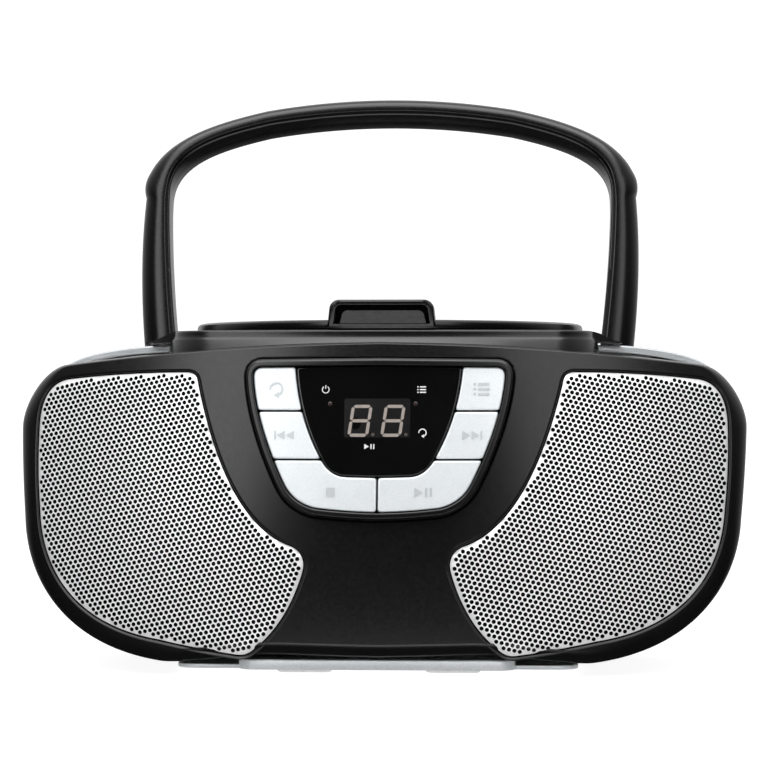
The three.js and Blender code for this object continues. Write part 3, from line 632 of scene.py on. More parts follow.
optic_glass = Finish("pickup lens", 0.05, coat=1.0)
optic_glass.colour((0.01, 0.02, 0.05), (0.02, 0.04, 0.1), 300)

SLOT_FINISHES = {
    "black_shell": black_satin,
    "black_trim": black_gloss,
    "silver_shell": silver_paint,
    "silver_button": silver_button,
    "grille_steel": grille_steel,
    "smoked_lens": lens_black,
    "display": window_grey,
    "circuit_board": board_green,
    "steel": bright_steel,
    "antenna_chrome": chrome,
    "paper_cone": cone_paper,
    "magnet": ferrite_grey,
    "transformer_core": copper_wound,
    "rubber": rubber_grey,
    "inner_plastic": inner_black,
    "gear_plastic": gear_white,
    "contact_brass": brass_plate,
}


def finish_frame():
    """Every carried-over CAD node gets the finish of its slot."""
    for part in frame["record"]["subparts"]:
        node = frame["nodes"][part["node"]]
        node.data.materials.clear()
        node.data.materials.append(SLOT_FINISHES[part["material_slot"]].material)


def piece(name, shape, finish, body, slot, *nodes, sharp=35):
    return finished(mesh_object(name, shape, sharp), finish.material, body, slot, *nodes, sharp=sharp)


# ---- outlines of the front ----

shell_outline = mirrored(
    Path(0, 6.8)
    .line(30, 7.3)
    .cubic(48, 7, 52, 4.6, 68, 4.3)
    .cubic(100, 7.5, 116.5, 26.5, 118.3, 49)
    .quad(120.4, 66, 121.2, 79)
    .cubic(121.4, 86.5, 114.5, 98.6, 106, 99.6)
    .quad(55, 106, 0, 106.8)
    .array()
)
grille_outline = (
    Path(63, 96.8)
    .cubic(60.2, 96.4, 60, 95, 59.5, 92.5)
    .cubic(53, 67, 43, 46, 27, 41.2)
    .quad(22.6, 38.9, 23.4, 34)
    .quad(28, 17.5, 39, 9)
    .quad(41.5, 6.9, 45, 7.6)
    .quad(56, 8.9, 70, 11.6)
    .cubic(95, 15, 110.6, 29, 112.4, 53)
    .quad(114.2, 66, 114.2, 80)
    .cubic(114.2, 88, 111, 94, 104, 94.6)
    .quad(84, 96.8, 63, 96.8)
    .array()[:-1]
)
cluster_half = (
    Path(0, 52.3)
    .quad(10, 52.4, 20, 53.6)
    .quad(26.5, 55.2, 29.5, 60.5)
    .cubic(34.5, 70, 40, 84, 40.8, 95.5)
    .quad(40.9, 98.2, 38.4, 98.4)
    .line(0, 98.8, 24)
    .array()
)
lens_half = (
    Path(0, 63.4)
    .line(10.5, 63.7)
    .quad(15.5, 64, 18.5, 70.2)
    .quad(25.6, 83, 26.8, 98.4)
    .line(0, 98.8, 24)
    .array()
)


# ---- front shell, bezel and grilles ----


def ramp_up(value, low, high):
    share = np.clip((value - low) / (high - low), 0, 1)
    return share * share * (3 - 2 * share)


def front_shell():
    rim = resampled(shell_outline, 1.6)
    along_top = ramp_up(rim[:, 1], 88, 95) * (1 - ramp_up(abs(rim[:, 0]), 104, 120))
    windows = [inset(resampled(o, 1.2), -0.3)[::-1] for o in (grille_outline, flipped(grille_outline))]
    cluster = inset(resampled(mirrored(cluster_half), 1.0), -3.0)[::-1]
    edge = [(WALL, WALL), (WALL, FACE_DEPTH), (WALL, SPLIT_Y), (0, SPLIT_Y), (0, 50), (0, 28)]
    edge += [(0, FACE_DEPTH)] + fillet(4.2, 0, 8)
    lip = [(0, WALL)] + fillet(1.0, 0, 4)
    profiles = [edge, lip, lip, [(0, WALL)] + fillet(0.5, 0, 3)]
    points, faces = plate([rim, *windows, cluster], profiles, 2.4, softness=1 - 0.82 * along_top)
    shell = mesh_object("front_shell_moulding", (bowed(points), faces))
    carve(shell, rod_z(WELL_HOLE, 94, 130, y=LID_Y))
    return finished(shell, black_satin.material, "cabinet", "black_shell", "front_shell", sharp=42)


def control_bezel():
    outer = inset(resampled(mirrored(cluster_half), 0.9), -2.7)
    hole = inset(resampled(mirrored(cluster_half), 0.9), -0.3)[::-1]
    outside = [(0, WALL), (0, -1.6)] + fillet(1.0, -3.2, 6, 1.5)
    inside = [(0, WALL), (0, -2.2)] + fillet(0.45, -3.2, 4)
    points, faces = plate([outer, hole], [outside, inside], 1.0)
    piece("bezel_ring", (bowed(points), faces), black_satin, "cabinet", "black_trim", "control_bezel")


# The pitch and direction of the grille's two rows of holes
HOLE_ROW = (1.742, math.radians(-13.2))
HOLE_STEP = (1.648, math.radians(49.2))
HOLE_RADIUS = 0.7
HOLE_SIDES = 8
SHEET = 0.35


def grille_relief(points, outline):
    """How far the sheet stands proud: a low dome that rolls back at its edge."""
    depth = np.clip(nearest(points, outline) / 3.5, 0, 1)
    return 0.4 - 1.3 * (1 - (1 - depth) ** 2.2)


def grille(side, word):
    """Perforated sheet: a hexagonal field of holes whose rows rise towards the middle of the front."""
    outline = resampled(grille_outline, 0.9)
    rows = (HOLE_ROW, HOLE_STEP)
    across, upward = (pitch * np.array((math.cos(turn), math.sin(turn))) for pitch, turn in rows)
    reach = np.arange(-75, 76)
    i, j = np.meshgrid(reach, reach)
    centres = np.array((70, 54)) + i.reshape(-1, 1) * across + j.reshape(-1, 1) * upward
    centres = centres[within(centres, inset(outline, HOLE_RADIUS + 0.12))]
    ring = circle(HOLE_RADIUS, HOLE_SIDES)[::-1]
    holes = (centres[:, None] + ring[None]).reshape(-1, 2)
    n, count = HOLE_SIDES, len(centres)
    first = len(outline)
    flat = np.vstack([outline, holes])
    edges = [(k, (k + 1) % first) for k in range(first)]
    corner = np.arange(count * n)
    following = corner // n * n + (corner + 1) % n
    edges += [(first + a, first + b) for a, b in zip(corner.tolist(), following.tolist())]
    found = delaunay_2d_cdt([tuple(p) for p in flat], edges, [], 0, 1e-7)
    names = np.array([original[0] for original in found[3]])
    faces = names[np.array([list(f) for f in found[2]])]
    hole_of = np.where(faces >= first, (faces - first) // n, -1)
    solid = ~((hole_of[:, 0] >= 0) & (hole_of == hole_of[:, :1]).all(1))
    solid &= within(flat[faces].mean(1), outline) & has_area(flat[faces])
    faces = faces[solid]
    relief = grille_relief(flat, outline)
    front = bowed(np.column_stack([flat[:, 0], relief, flat[:, 1]]))
    deep = bowed(np.column_stack([flat[:, 0], relief + SHEET, flat[:, 1]]))
    total = len(flat)
    edges = [(first + a, first + b) for a, b in zip(corner, following)]
    edges += [(k, (k + 1) % first) for k in range(first)]
    walls = [(a, a + total, b + total, b) for a, b in edges]
    shape = on_side((np.vstack([front, deep]), [tuple(f) for f in faces] + walls), side)
    piece(f"grille_sheet_{word}", shape, grille_steel, "cabinet", "grille_steel", f"grille_{word}", sharp=50)


def grille_cloth(side, word):
    """Black backing behind the holes, just clear of the speaker."""
    loop = inset(resampled(grille_outline, 2.5), -1.6)
    points, faces = plate([loop], [(0, 4.2), (0, 3.4)], 4.0)
    shape = on_side((bowed(points), faces), side)
    piece(f"grille_backing_{word}", shape, cloth_black, "cabinet", "inner_plastic")


# ---- buttons, lens and display ----


CLUSTER_MIDDLE_Z = 84
TOP_BUTTON_Z = 98.45


def right_side(half, offset):
    """The right side of a mirrored outline moved inwards, from its foot to its head."""
    loop = inset(resampled(mirrored(half), 0.4), offset)
    loop = loop[loop[:, 0] > 0]
    return loop[np.argsort(np.arctan2(loop[:, 1] - CLUSTER_MIDDLE_Z, loop[:, 0]))]


def button_loop(low, high):
    """The right-hand button between two heights of the cluster, clear of the lens."""
    outer = right_side(cluster_half, 0.05)
    inner = right_side(lens_half, -0.45)
    inner = inner[inner[:, 1] < 98.2]
    if low < 60:
        a, b = (line[(line[:, 1] <= high) & (line[:, 0] > BUTTON_GAP)] for line in (outer, inner))
        a = np.vstack([(BUTTON_GAP, 52.4), a, (a[-1, 0], high)])
        b = np.vstack([(BUTTON_GAP, b[0, 1]), b, (b[-1, 0], high)])
    else:
        a, b = (line[(line[:, 1] >= low) & (line[:, 1] <= high)] for line in (outer, inner))
        a = np.vstack([(a[0, 0], low), a])
        b = np.vstack([(b[0, 0], low), b])
        if high < TOP_BUTTON_Z:
            a = np.vstack([a, (a[-1, 0], high)])
            b = np.vstack([b, (b[-1, 0], high)])
        else:
            a = a[a[:, 0] > b[-1, 0]]
            b = np.vstack([b, (b[-1, 0], TOP_BUTTON_Z)])
    return eased(resampled(np.vstack([a, b[::-1]]), 0.35), 5)


def arrow(x, z, width, height, direction):
    tip = x + direction * width
    loop = np.array([(x, z - height / 2), (tip, z), (x, z + height / 2)])
    return loop if direction > 0 else loop[::-1]


def bar(x0, x1, z0, z1):
    return np.array([(x0, z0), (x1, z0), (x1, z1), (x0, z1)], float)


def arc_band(radius, width, start, end, steps=18):
    turns = np.radians(np.linspace(start, end, steps))
    out = np.stack([np.cos(turns), np.sin(turns)], axis=1)
    return np.vstack([out * (radius + width / 2), (out * (radius - width / 2))[::-1]])


ICONS = {
    "repeat": [arc_band(2.0, 0.6, -60, 150), arrow(0.9, -1.9, 1.6, 2.0, -1), bar(-2.3, -1.7, -0.2, 1.0)],
    "program": [bar(a, b, z - 0.35, z + 0.35) for a, b in ((-2.6, -1.8), (-1.1, 2.6)) for z in (-1.6, 0, 1.6)],
    "skip_back": [bar(-3.4, -2.8, -1.4, 1.4), arrow(0, 0, 2.6, 2.8, -1), arrow(3.0, 0, 2.6, 2.8, -1)],
    "skip_forward": [arrow(-3.0, 0, 2.6, 2.8, 1), arrow(0, 0, 2.6, 2.8, 1), bar(2.8, 3.4, -1.4, 1.4)],
    "stop": [bar(-1.4, 1.4, -1.4, 1.4)],
    "play_pause": [arrow(-2.9, 0, 2.6, 2.9, 1), bar(0.5, 1.2, -1.4, 1.4), bar(2.0, 2.7, -1.4, 1.4)],
    "power": [arc_band(1.1, 0.28, 125, 415), bar(-0.14, 0.14, 0.2, 1.5)],
}


def anticlockwise(loop):
    x, z = loop.T
    area = (x * np.roll(z, -1) - np.roll(x, -1) * z).sum()
    return loop if area > 0 else loop[::-1]


def icon(name, x, z, front, thickness=0.3, scale=1.0):
    shapes = []
    for loop in ICONS[name]:
        loop = resampled(loop * scale, 0.5 * scale) if len(loop) < 5 else loop * scale
        loop = anticlockwise(loop) + (x, z)
        shapes.append(plate([loop], [(0, front + thickness), (0, front)], 5.0))
    points, faces = merged(*shapes)
    return bowed(points), faces


BUTTON_FACE = -2.4
BUTTONS = (
    ("button_repeat", "repeat", -1, TOP_ROW_Z, 110, (33.2, 91.4)),
    ("button_program", "program", 1, TOP_ROW_Z, 110, (33.2, 91.4)),
    ("button_skip_back", "skip_back", -1, LOW_ROW_Z, TOP_ROW_Z, (30, 76.6)),
    ("button_skip_forward", "skip_forward", 1, LOW_ROW_Z, TOP_ROW_Z, (30, 76.6)),
    ("button_stop", "stop", -1, 40, LOW_ROW_Z, (14.8, 58.6)),
    ("button_play_pause", "play_pause", 1, 40, LOW_ROW_Z, (14.8, 58.6)),
)


def button(name, mark, side, low, high, at):
    """A button between two heights, on one side of the middle, with its mark in place."""
    loop = anticlockwise(button_loop(low + BUTTON_GAP, high - BUTTON_GAP))
    points, faces = plate([loop], [(0, 2.2), (0, -1.2)] + fillet(0.55, BUTTON_FACE, 4), 1.4)
    cap = on_side((bowed(points), faces), side)
    symbol = icon(mark, side * at[0], at[1], BUTTON_FACE - 0.2)
    # The symbol's darker grey is painted shade, not a printed colour.
    piece(f"{name}_symbol", symbol, shaded_symbol_finish, name, "silver_button")
    piece(f"{name}_cap", cap, silver_button, name, "silver_button", name, sharp=45)


LENS_FACE = -1.9
DIGITS = (-0.3, 82.1)


def display_lens():
    loop = eased(resampled(mirrored(lens_half), 0.5), 3)
    points, faces = plate([loop], [(0, 0.8), (0, -1.3)] + fillet(0.4, LENS_FACE, 4), 0.9)
    piece("lens_plate", (bowed(points), faces), lens_black, "cabinet", "smoked_lens", "display_lens")


def digit(x, z, width, height, slant):
    """Seven pointed segments of one leaning digit."""
    half, h, space = height / 2, 0.5, 0.14
    side = width / 2 - h
    bars = []
    for level in (h - half, 0, half - h):
        a, b = space - side, side - space
        bars.append([(a, level), (a + h, level - h), (b - h, level - h)])
        bars[-1] += [(b, level), (b - h, level + h), (a + h, level + h)]
    for column in (-side, side):
        for low, high in ((h - half + space, -space), (space, half - h - space)):
            bars.append([(column, low), (column + h, low + h), (column + h, high - h)])
            bars[-1] += [(column, high), (column - h, high - h), (column - h, low + h)]
    return [np.array(b) + np.array(b)[:, 1:] * (slant, 0) + (x, z) for b in bars]


def inlay(loops, depth, height=0.03):
    """Flat shapes set in the lens face, standing a hair proud of it."""
    shapes = []
    for loop in loops:
        steps = [(0, LENS_FACE + depth), (0, LENS_FACE - height)]
        points, faces = plate([anticlockwise(loop)], steps, 5.0)
        shapes.append((bowed(points), faces))
    return merged(*shapes)


def display():
    """The display window in the lens face, its digits, points, lamps and symbols."""
    x, z = DIGITS
    window = resampled(rounded_rectangle(x - 10.6, x + 10.6, z - 6.2, z + 6.2, 0.2, 2), 1.0)
    piece("display_window", inlay([window], 0.3, 0.02), window_grey, "cabinet", "display", "led_display")
    loops = [loop for dx in (-5.3, 5.3) for loop in digit(x - 0.2 + dx, z - 0.9, 6.7, 10.2, 0.14)]
    piece("display_segments", inlay(loops, 0.0, 0.06), segment_grey, "cabinet", "display")
    points = [circle(0.55, 16, x - 1.3 + dx, z - 5.3) for dx in (0, 10.6)]
    piece("display_points", inlay(points, 0.0, 0.06), segment_dark, "cabinet", "display")
    lamps = []
    steps = [(0, LENS_FACE + 0.1)] + fillet(0.2, LENS_FACE - 0.1, 3)
    for dx in (-15.6, 12.0):
        points, faces = plate([circle(0.7, 20, dx, 86.6)], steps, 5.0)
        lamps.append((bowed(points), faces))
    piece("indicator_lamps", merged(*lamps), lamp_red, "cabinet", "display")
    marks = (("power", -17.1, 91.2, 1.0), ("program", 13.9, 91.2, 0.55))
    marks += (("repeat", 14.3, 77.4, 0.58), ("play_pause", -2.6, 73.0, 0.58))
    shapes = [icon(name, x, z, LENS_FACE - 0.03, 0.1, scale) for name, x, z, scale in marks]
    piece("lens_symbols", merged(*shapes), print_white, "cabinet", "smoked_lens")


# ---- cabinet ----


def cabinet_ring(loop, y, narrow, lower):
    span = SHOULDER_Z - BASE_Z
    height = (loop[:, 1] - BASE_Z) / span
    z = BASE_Z + height * (span - lower)
    return np.column_stack([loop[:, 0] * narrow, np.full(len(loop), y), z])


cabinet_outline = mirrored(
    Path(0, BASE_Z)
    .line(76, BASE_Z)
    .cubic(104, BASE_Z, 116, 26, 118, 50)
    .quad(119.6, 66, 119.4, 82)
    .cubic(119, 94, 112, 101, 100, 103.6)
    .quad(88, SHOULDER_Z, 72, SHOULDER_Z)
    .line(0, SHOULDER_Z)
    .array()
)


def cabinet_sizes(y):
    """How narrow and how much lower the cabinet is at one depth."""
    narrow = np.interp(y, [74, 110, 150, 186], [1, 0.985, 0.962, 0.934])
    roll = np.clip((y - 182) / (BACK_Y - 182), 0, 1)
    bend = 1 - math.sqrt(max(0.0, 1 - roll**2.6))
    return narrow - 0.062 * bend, 6.0 * bend


def side_block(y0, y1, z0, z1, radius, near, far):
    """A block reaching along X, with its corners rounded as seen from the side."""
    return along_x(raised(rounded_rectangle(y0, y1, z0, z1, radius), [(0, near), (0, far)]))


def rear_cabinet():
    loop = resampled(cabinet_outline, 2.2)
    depths = [SPLIT_Y + 0.3, SPLIT_Y + 1.0, 90, 110, 130, 150, 170, 182]
    depths += [182 + 18 * math.sin(t) for t in np.linspace(0.12, math.pi / 2, 12)]
    rings = [cabinet_ring(inset(loop, 0 if k else 0.5), y, *cabinet_sizes(y)) for k, y in enumerate(depths)]
    hollow = inset(loop, WALL)
    inner = []
    for y in (70, 110, 150, 184):
        narrow, lower = cabinet_sizes(y)
        inner.append(cabinet_ring(hollow, y, narrow - 0.004, lower))
    inner.append(cabinet_ring(hollow, BACK_Y - WALL, 0.9, 3))
    shell = mesh_object("rear_cabinet_moulding", loft(rings))
    carve(shell, loft(inner))
    wall = [(83.2, 104), (83.2, 83), (105, 83), (162, 104.9), (162, 105.8)]
    wall = prism_x(wall, POCKET[0] - 2, POCKET[1] + 2)
    bay = side_block(96.4, 159.6, 34.4, 85.6, 4, SIDE_PANEL_X - 2.2, SIDE_PANEL_X + 3.2)
    for side, _ in SIDES:
        carve(shell, on_side(wall, side), operation="UNION")
        carve(shell, on_side(bay, side), operation="UNION")
    tongue = soft_block(-64, 64, 10, SPLIT_Y + 6, BASE_Z, 4, 6, 0.4)
    carve(shell, tongue, soft_block(-44, 44, 6, SPLIT_Y + 6, BASE_Z, 5.9, 5, 0.5), operation="UNION")
    pocket = prism_x([(85.2, 125), (85.2, 85.2), (104, 85.2), (160, 107.3), (160, 125)], *POCKET)
    recess = side_block(98.6, 157.4, 36.6, 83.4, 5, SIDE_PANEL_X, 130)
    slot = side_block(SLIDER_Y - 1.5, SLIDER_Y + 1.5, 50, 70, 1.4, 100, 125)
    for side, _ in SIDES:
        carve(shell, on_side(pocket, side), on_side(recess, side), on_side(slot, side))
    carve(
        shell,
        rod_z(WELL_HOLE, 94, 120, y=LID_Y),
        back_cutter(rounded_rectangle(-BAY_HALF, BAY_HALF, BAY_Z[0] - 0.7, BAY_Z[1], 1.5), 195),
        back_cutter(rounded_rectangle(47.7, 72.3, 76.7, 90.3, 1), 195),
        back_cutter(rounded_rectangle(-80.3, -67.7, 77.7, 90.3, 1), 195),
        back_cutter(circle(2.3, 24, ANTENNA[0], ANTENNA[2]), 195),
        vents(),
    )
    bevelled(shell, 0.35, 2, 50)
    return finished(shell, silver_paint.material, "cabinet", "silver_shell", "rear_cabinet", sharp=38)


def back_cutter(loop, front):
    return prism_y(loop, front, BACK_Y + 6)


def vents():
    """Two rows of cooling slots in the back, above the battery door."""
    slots = []
    for x in np.arange(9) * 8.5 - 34:
        for z in (79, 84):
            slots.append(back_cutter(rounded_rectangle(x - 2.6, x + 2.6, z, z + 2, 0.95, 4), 193))
    return merged(*slots)


def battery_door():
    half = BAY_HALF - 0.5
    loop = resampled(rounded_rectangle(-half, half, BAY_Z[0], BAY_Z[1] - 0.4, 1.4, 6), 1.5)
    points, faces = plate([loop], [(0, 2.2)] + fillet(0.5, 0, 3), 8.0)
    points = points * (1, -1, 1) + (0, BACK_Y, 0)
    door = mesh_object("battery_door_panel", (points, [tuple(reversed(f)) for f in faces]))
    thumb = back_cutter(rounded_rectangle(-13, 13, BAY_Z[1] - 11, BAY_Z[1] - 3.4, 3), BACK_Y - 1.2)
    ribs = [
        back_cutter(rounded_rectangle(-60, 60, z, z + 1.6, 0.7, 4), BACK_Y - 0.7) for z in np.arange(22, 50, 6.5)
    ]
    carve(door, thumb, *ribs)
    bevelled(door, 0.2, 2, 50)
    return finished(door, silver_paint.material, "battery_door", "silver_shell", "battery_door", sharp=38)


def screw():
    """A cross-head screw about Z, with its head upwards."""
    profile = [(0, -1.6), (2.6, -1.6), (2.6, -0.5), (2.1, 0.1), (1.0, 0.45), (0, 0.5)]
    head = mesh_object("head", turned(profile, 32))
    carve(head, *[block(-w / 2, w / 2, -h / 2, h / 2, -0.35, 1.0) for w, h in ((3.0, 0.55), (0.55, 3.0))])
    points = np.array([v.co for v in head.data.vertices]) / MM - (0, SHIFT_Y, 0)
    faces = [tuple(p.vertices) for p in head.data.polygons]
    bpy.data.objects.remove(head)
    return points, faces


def screws():
    """Screws sunk in the back and in the base."""
    points, faces = screw()
    right, ahead, up = points.T
    back = np.stack([right, up, -ahead], axis=1)
    base = np.stack([right, -ahead, -up], axis=1)
    shapes = [(back + (x, BACK_Y - 0.1, z), faces) for z in (24, 60) for x in (-96, 96)]
    shapes += [(base + (x, y, BASE_Z + 0.3), faces) for x in (-52, 52) for y in (60, 150)]
    piece("case_screws", merged(*shapes), bright_steel, "cabinet", "steel")


# ---- top cover, well and lid ----


def cover_loop():
    loop = resampled(rounded_rectangle(-72.8, 72.8, 33.5, 192, 15, 12), 1.8)
    front = loop[:, 1] < 100
    loop[front, 1] += front_y(loop[front, 0], 0)
    return loop


def top_cover():
    loop = cover_loop()
    layers = [(3.0, 106.9), (0, 106.9), (0.1, 107.1), (0.9, 107.5), (1.5, 108.1), (1.9, 108.8), (2.15, 109.5)]
    layers += [(2.3, 110.1), (2.45, 110.45), (2.8, 110.72), (3.3, 110.8)]
    points, faces = raised(loop, layers)
    low = points[:, 2] < 107.5
    ahead = low & (points[:, 1] < SPLIT_Y - 2)
    shell_top = 106.8 - (points[:, 0] / 20.8) ** 2 * 0.3 - 0.15
    points[ahead, 2] = np.minimum(points[ahead, 2], shell_top[ahead])
    cover = mesh_object("top_cover_panel", (points, faces))
    carve(cover, rod_z(67.2, 94, 130, y=LID_Y))
    slope = [(68.5, 107.3), (80.6, 106.7), (80.6, 106.95), (77.5, 107.8), (75, 108.9)]
    slope += [(72.8, 110.0), (70.8, 110.6), (68.5, 110.7)]
    for side, _ in SIDES:
        carve(cover, on_side(prism_y(slope, 58, 84), side), operation="UNION")
        carve(cover, on_side(block(21.6, 34.98, HINGE[0] - 4, HINGE[0] + 4, 109.6, 114), side))
        carve(cover, on_side(hinge_ear(35, 40), side), operation="UNION")
    bevelled(cover, 0.3, 2, 45)
    return finished(cover, black_satin.material, "cabinet", "black_shell", "top_cover", sharp=40)


def hinge_ear(x0, x1):
    turns = np.radians(np.linspace(0, 180, 17))
    arch = [(HINGE[0] + 3.4 * math.cos(t), HINGE[1] + 3.4 * math.sin(t)) for t in turns]
    return prism_x([(HINGE[0] - 3.4, 110.2), (HINGE[0] + 3.4, 110.2), *arch], x0, x1)


def disc_well():
    """The dish under the lid, with its stepped seat, spindle opening and pickup slot."""
    profile = [
        (17, 98.5), (66.8, 98.5), (66.8, 110.1), (66.5, 110.4), (65.5, 110.4), (65.2, 110.1), (65.2, 107.6),
        (64.8, 107.2), (62.0, 106.8), (61.2, 106.4), (60.9, 103.4), (60.3, 102.9), (58, 102.8), (57.4, 102.3),
        (57.1, 101.0), (56.4, 100.6), (24.0, 100.6), (23.4, 101.0), (22.6, 101.2), (18.2, 101.2), (17.3, 100.8),
        (17, 100.2), (17, 98.5),
    ]
    dish = mesh_object("disc_well_dish", about_lid(profile, 128))
    carve(dish, raised(rounded_rectangle(-7, 7, 49, 99, 3), [(0, 90), (0, 108)]))
    carve(dish, *[rod_z(9, 104.5, 112, x, LID_Y, 48) for x in (-66, 66)])
    bevelled(dish, 0.25, 2, 50)
    return finished(dish, inner_black.material, "cabinet", "inner_plastic", "cd_well", sharp=38)


def turntable():
    hub = [
        (0, 90), (2.6, 90), (2.6, 100.4), (13.6, 100.4), (14, 100.8), (14, 101.8), (13.6, 102.2), (9.4, 102.2),
        (9.2, 101.7), (8.4, 101.7), (8.2, 102.2), (7.5, 102.3), (7.3, 102.8), (7.3, 104.2), (6.9, 105.1),
        (5.4, 106.1), (4.0, 106.4), (2.2, 106.4), (2.0, 105.6), (0, 105.6),
    ]
    piece("turntable_hub", about_lid(hub, 72), inner_black, "turntable", "inner_plastic", "turntable")
    catches = []
    for k in range(3):
        turn = math.radians(30 + 120 * k)
        ball = turned([(0, -0.9), (0.5, -0.75), (0.85, -0.3), (0.9, 0), (0.85, 0.3), (0.5, 0.75), (0, 0.9)], 20)
        catches.append(moved(ball, 6.9 * math.cos(turn), LID_Y + 6.9 * math.sin(turn), 103.7))
    piece("turntable_catches", merged(*catches), bright_steel, "turntable", "inner_plastic")
    ring = [(9.6, 102.1), (13.2, 102.1), (13.2, 102.45), (9.6, 102.45), (9.6, 102.1)]
    piece("turntable_mat", about_lid(ring, 72), rubber_black, "turntable", "inner_plastic")


def laser_sled():
    post = [(0, 97), (5.6, 97), (5.6, 98.3), (4.0, 98.9), (3.7, 100.0), (3.4, 100.3), (0, 100.3)]
    sled = mesh_object("pickup_body", soft_block(-14, 14, 76, 94, 92.4, 97.4, 2.5, 0.5))
    for x in (-9, 9):
        carve(sled, rod_y(1.9, 65, 105, x, 94.9))
    carve(sled, moved(turned(post, 48), y=87), operation="UNION")
    finished(sled, inner_black.material, "laser_sled", "inner_plastic", "laser_sled")
    dome = [(0, 100.2), (2.3, 100.2), (1.9, 100.62), (1.0, 100.92), (0, 101.0)]
    piece("pickup_lens", moved(turned(dome, 40), y=87), optic_glass, "laser_sled", "inner_plastic")


def arch(half, low, top, radius, steps=8):
    """An upright outline with a flat foot, sides that lean in a little and a rounded top."""
    right = [(half, low)]
    for turn in np.linspace(0, math.pi / 2, steps + 1):
        x = half - 0.6 - radius * (1 - math.cos(turn))
        right.append((x, top - radius * (1 - math.sin(turn))))
    return np.array(right + [(-x, z) for x, z in reversed(right)])


def lid():
    """The round lid: a low dome with a rolled edge and a seam ring, and its finger hood."""
    profile = [
        (0, 112.6), (66.6, 112.6), (66.6, LID_Z), (68.6, LID_Z), (69.0, 111.5), (69.0, 112.9), (68.7, 113.6),
        (68.0, 114.1), (66.8, 114.35), (62, 114.55), (61.4, 114.3), (60.8, 114.3), (60.2, 114.6), (50, 114.85),
        (36, 115.0), (0, 115.0),
    ]
    disc = mesh_object("lid_disc", about_lid(profile, 160))
    front = LID_Y - LID_RADIUS - 0.2
    stations = [(0, 0.9), (0.35, 0.3), (1.0, 0), (6, 0), (12, 0), (15, 0.6), (18, 1.9)]
    stations += [(21, 3.6), (24, 5.2), (27, 6.3), (29, 6.8)]
    rings = []
    for back, drop in stations:
        tight = 0.7 if back == 0 else (0.2 if back < 0.5 else 0)
        half = HOOD_WIDTH / 2 - tight
        top = HOOD_TOP_Z - drop if back > 1 else HOOD_TOP_Z - tight
        ring = arch(half, 112.1, top, min(3.3, (top - 112.3) / 2.2))
        rings.append(np.column_stack([ring[:, 0], np.full(len(ring), front + back), ring[:, 1]]))
    carve(disc, loft(rings), operation="UNION")
    mouth = []
    for back, tight in ((-3, 0), (8, 0), (10.2, 0.5), (11.2, 1.6)):
        half = HOOD_WIDTH / 2 - 1.9 - tight
        ring = arch(half, 112.9 + tight * 0.3, HOOD_TOP_Z - 1.7 - tight, 2.0)
        mouth.append(np.column_stack([ring[:, 0], np.full(len(ring), front + back), ring[:, 1]]))
    carve(disc, loft(mouth))
    for side, _ in SIDES:
        arm = soft_block(22, 34.6, LID_Y + 60, HINGE[0], LID_Z + 0.1, 113.6, 0.6, 0.4)
        barrel = along_x(turned([(0, 22), (2.6, 22), (3, 22.4), (3, 34.2), (2.6, 34.6), (0, 34.6)], 40))
        carve(disc, on_side(arm, side), on_side(moved(barrel, y=HINGE[0], z=HINGE[1]), side), operation="UNION")
    return finished(disc, black_satin.material, "lid", "black_shell", "cd_lid", sharp=30)


def disc_clamp():
    profile = [(0, 107.4), (6.5, 107.4), (7.4, 107.9), (13.4, 107.9), (14.4, 108.1)]
    profile += [(15, 108.8), (15, 112.2), (0, 112.2)]
    piece("clamp_puck", about_lid(profile, 72), inner_black, "lid", "inner_plastic", "disc_clamp")
    ribs = []
    for radius in (28, 44, 58):
        low, high = radius - 0.5, radius + 0.5
        rib = [(low, 111.9), (high, 111.9), (high, 112.7), (low, 112.7), (low, 111.9)]
        ribs.append(about_lid(rib, 96))
    piece("lid_ribs", merged(*ribs), inner_black, "lid", "black_shell")


# ---- handle ----


def handle_sections(path, counts):
    """One side of the handle's outline, from stretches that each get evenly spaced points."""
    out = []
    for stretch, count in zip(path, counts):
        lengths = np.r_[0, np.cumsum(np.linalg.norm(np.diff(stretch, axis=0), axis=1))]
        at = np.linspace(0, lengths[-1], count + 1)
        part = np.stack([np.interp(at, lengths, stretch[:, k]) for k in range(2)], axis=1)
        out.append(part if not out else part[1:])
    return np.vstack(out)


def handle_profile():
    """Half of the handle's section from its inner edge to its outer one.

    Each step is ("in", distance from the inner edge, depth) or ("across", share of the rest, depth).
    """
    deep = HANDLE_HALF_DEPTH
    bead = [(0, 1.6), (0.12, 1.2), (0.4, 1.0), (0.85, 0.95), (1.05, 0.75), (1.3, 0.35), (1.7, 0.08)]
    steps = [("in", 0, 0.12)] + [("in", distance, deep - drop) for distance, drop in bead]
    for share in (0, 0.12, 0.25, 0.38, 0.5, 0.62, 0.73, 0.83, 0.91, 0.965, 0.99, 1):
        steps.append(("across", share, 0.12 + (deep - 0.12) * (1 - share**2.6) ** 0.54))
    return steps


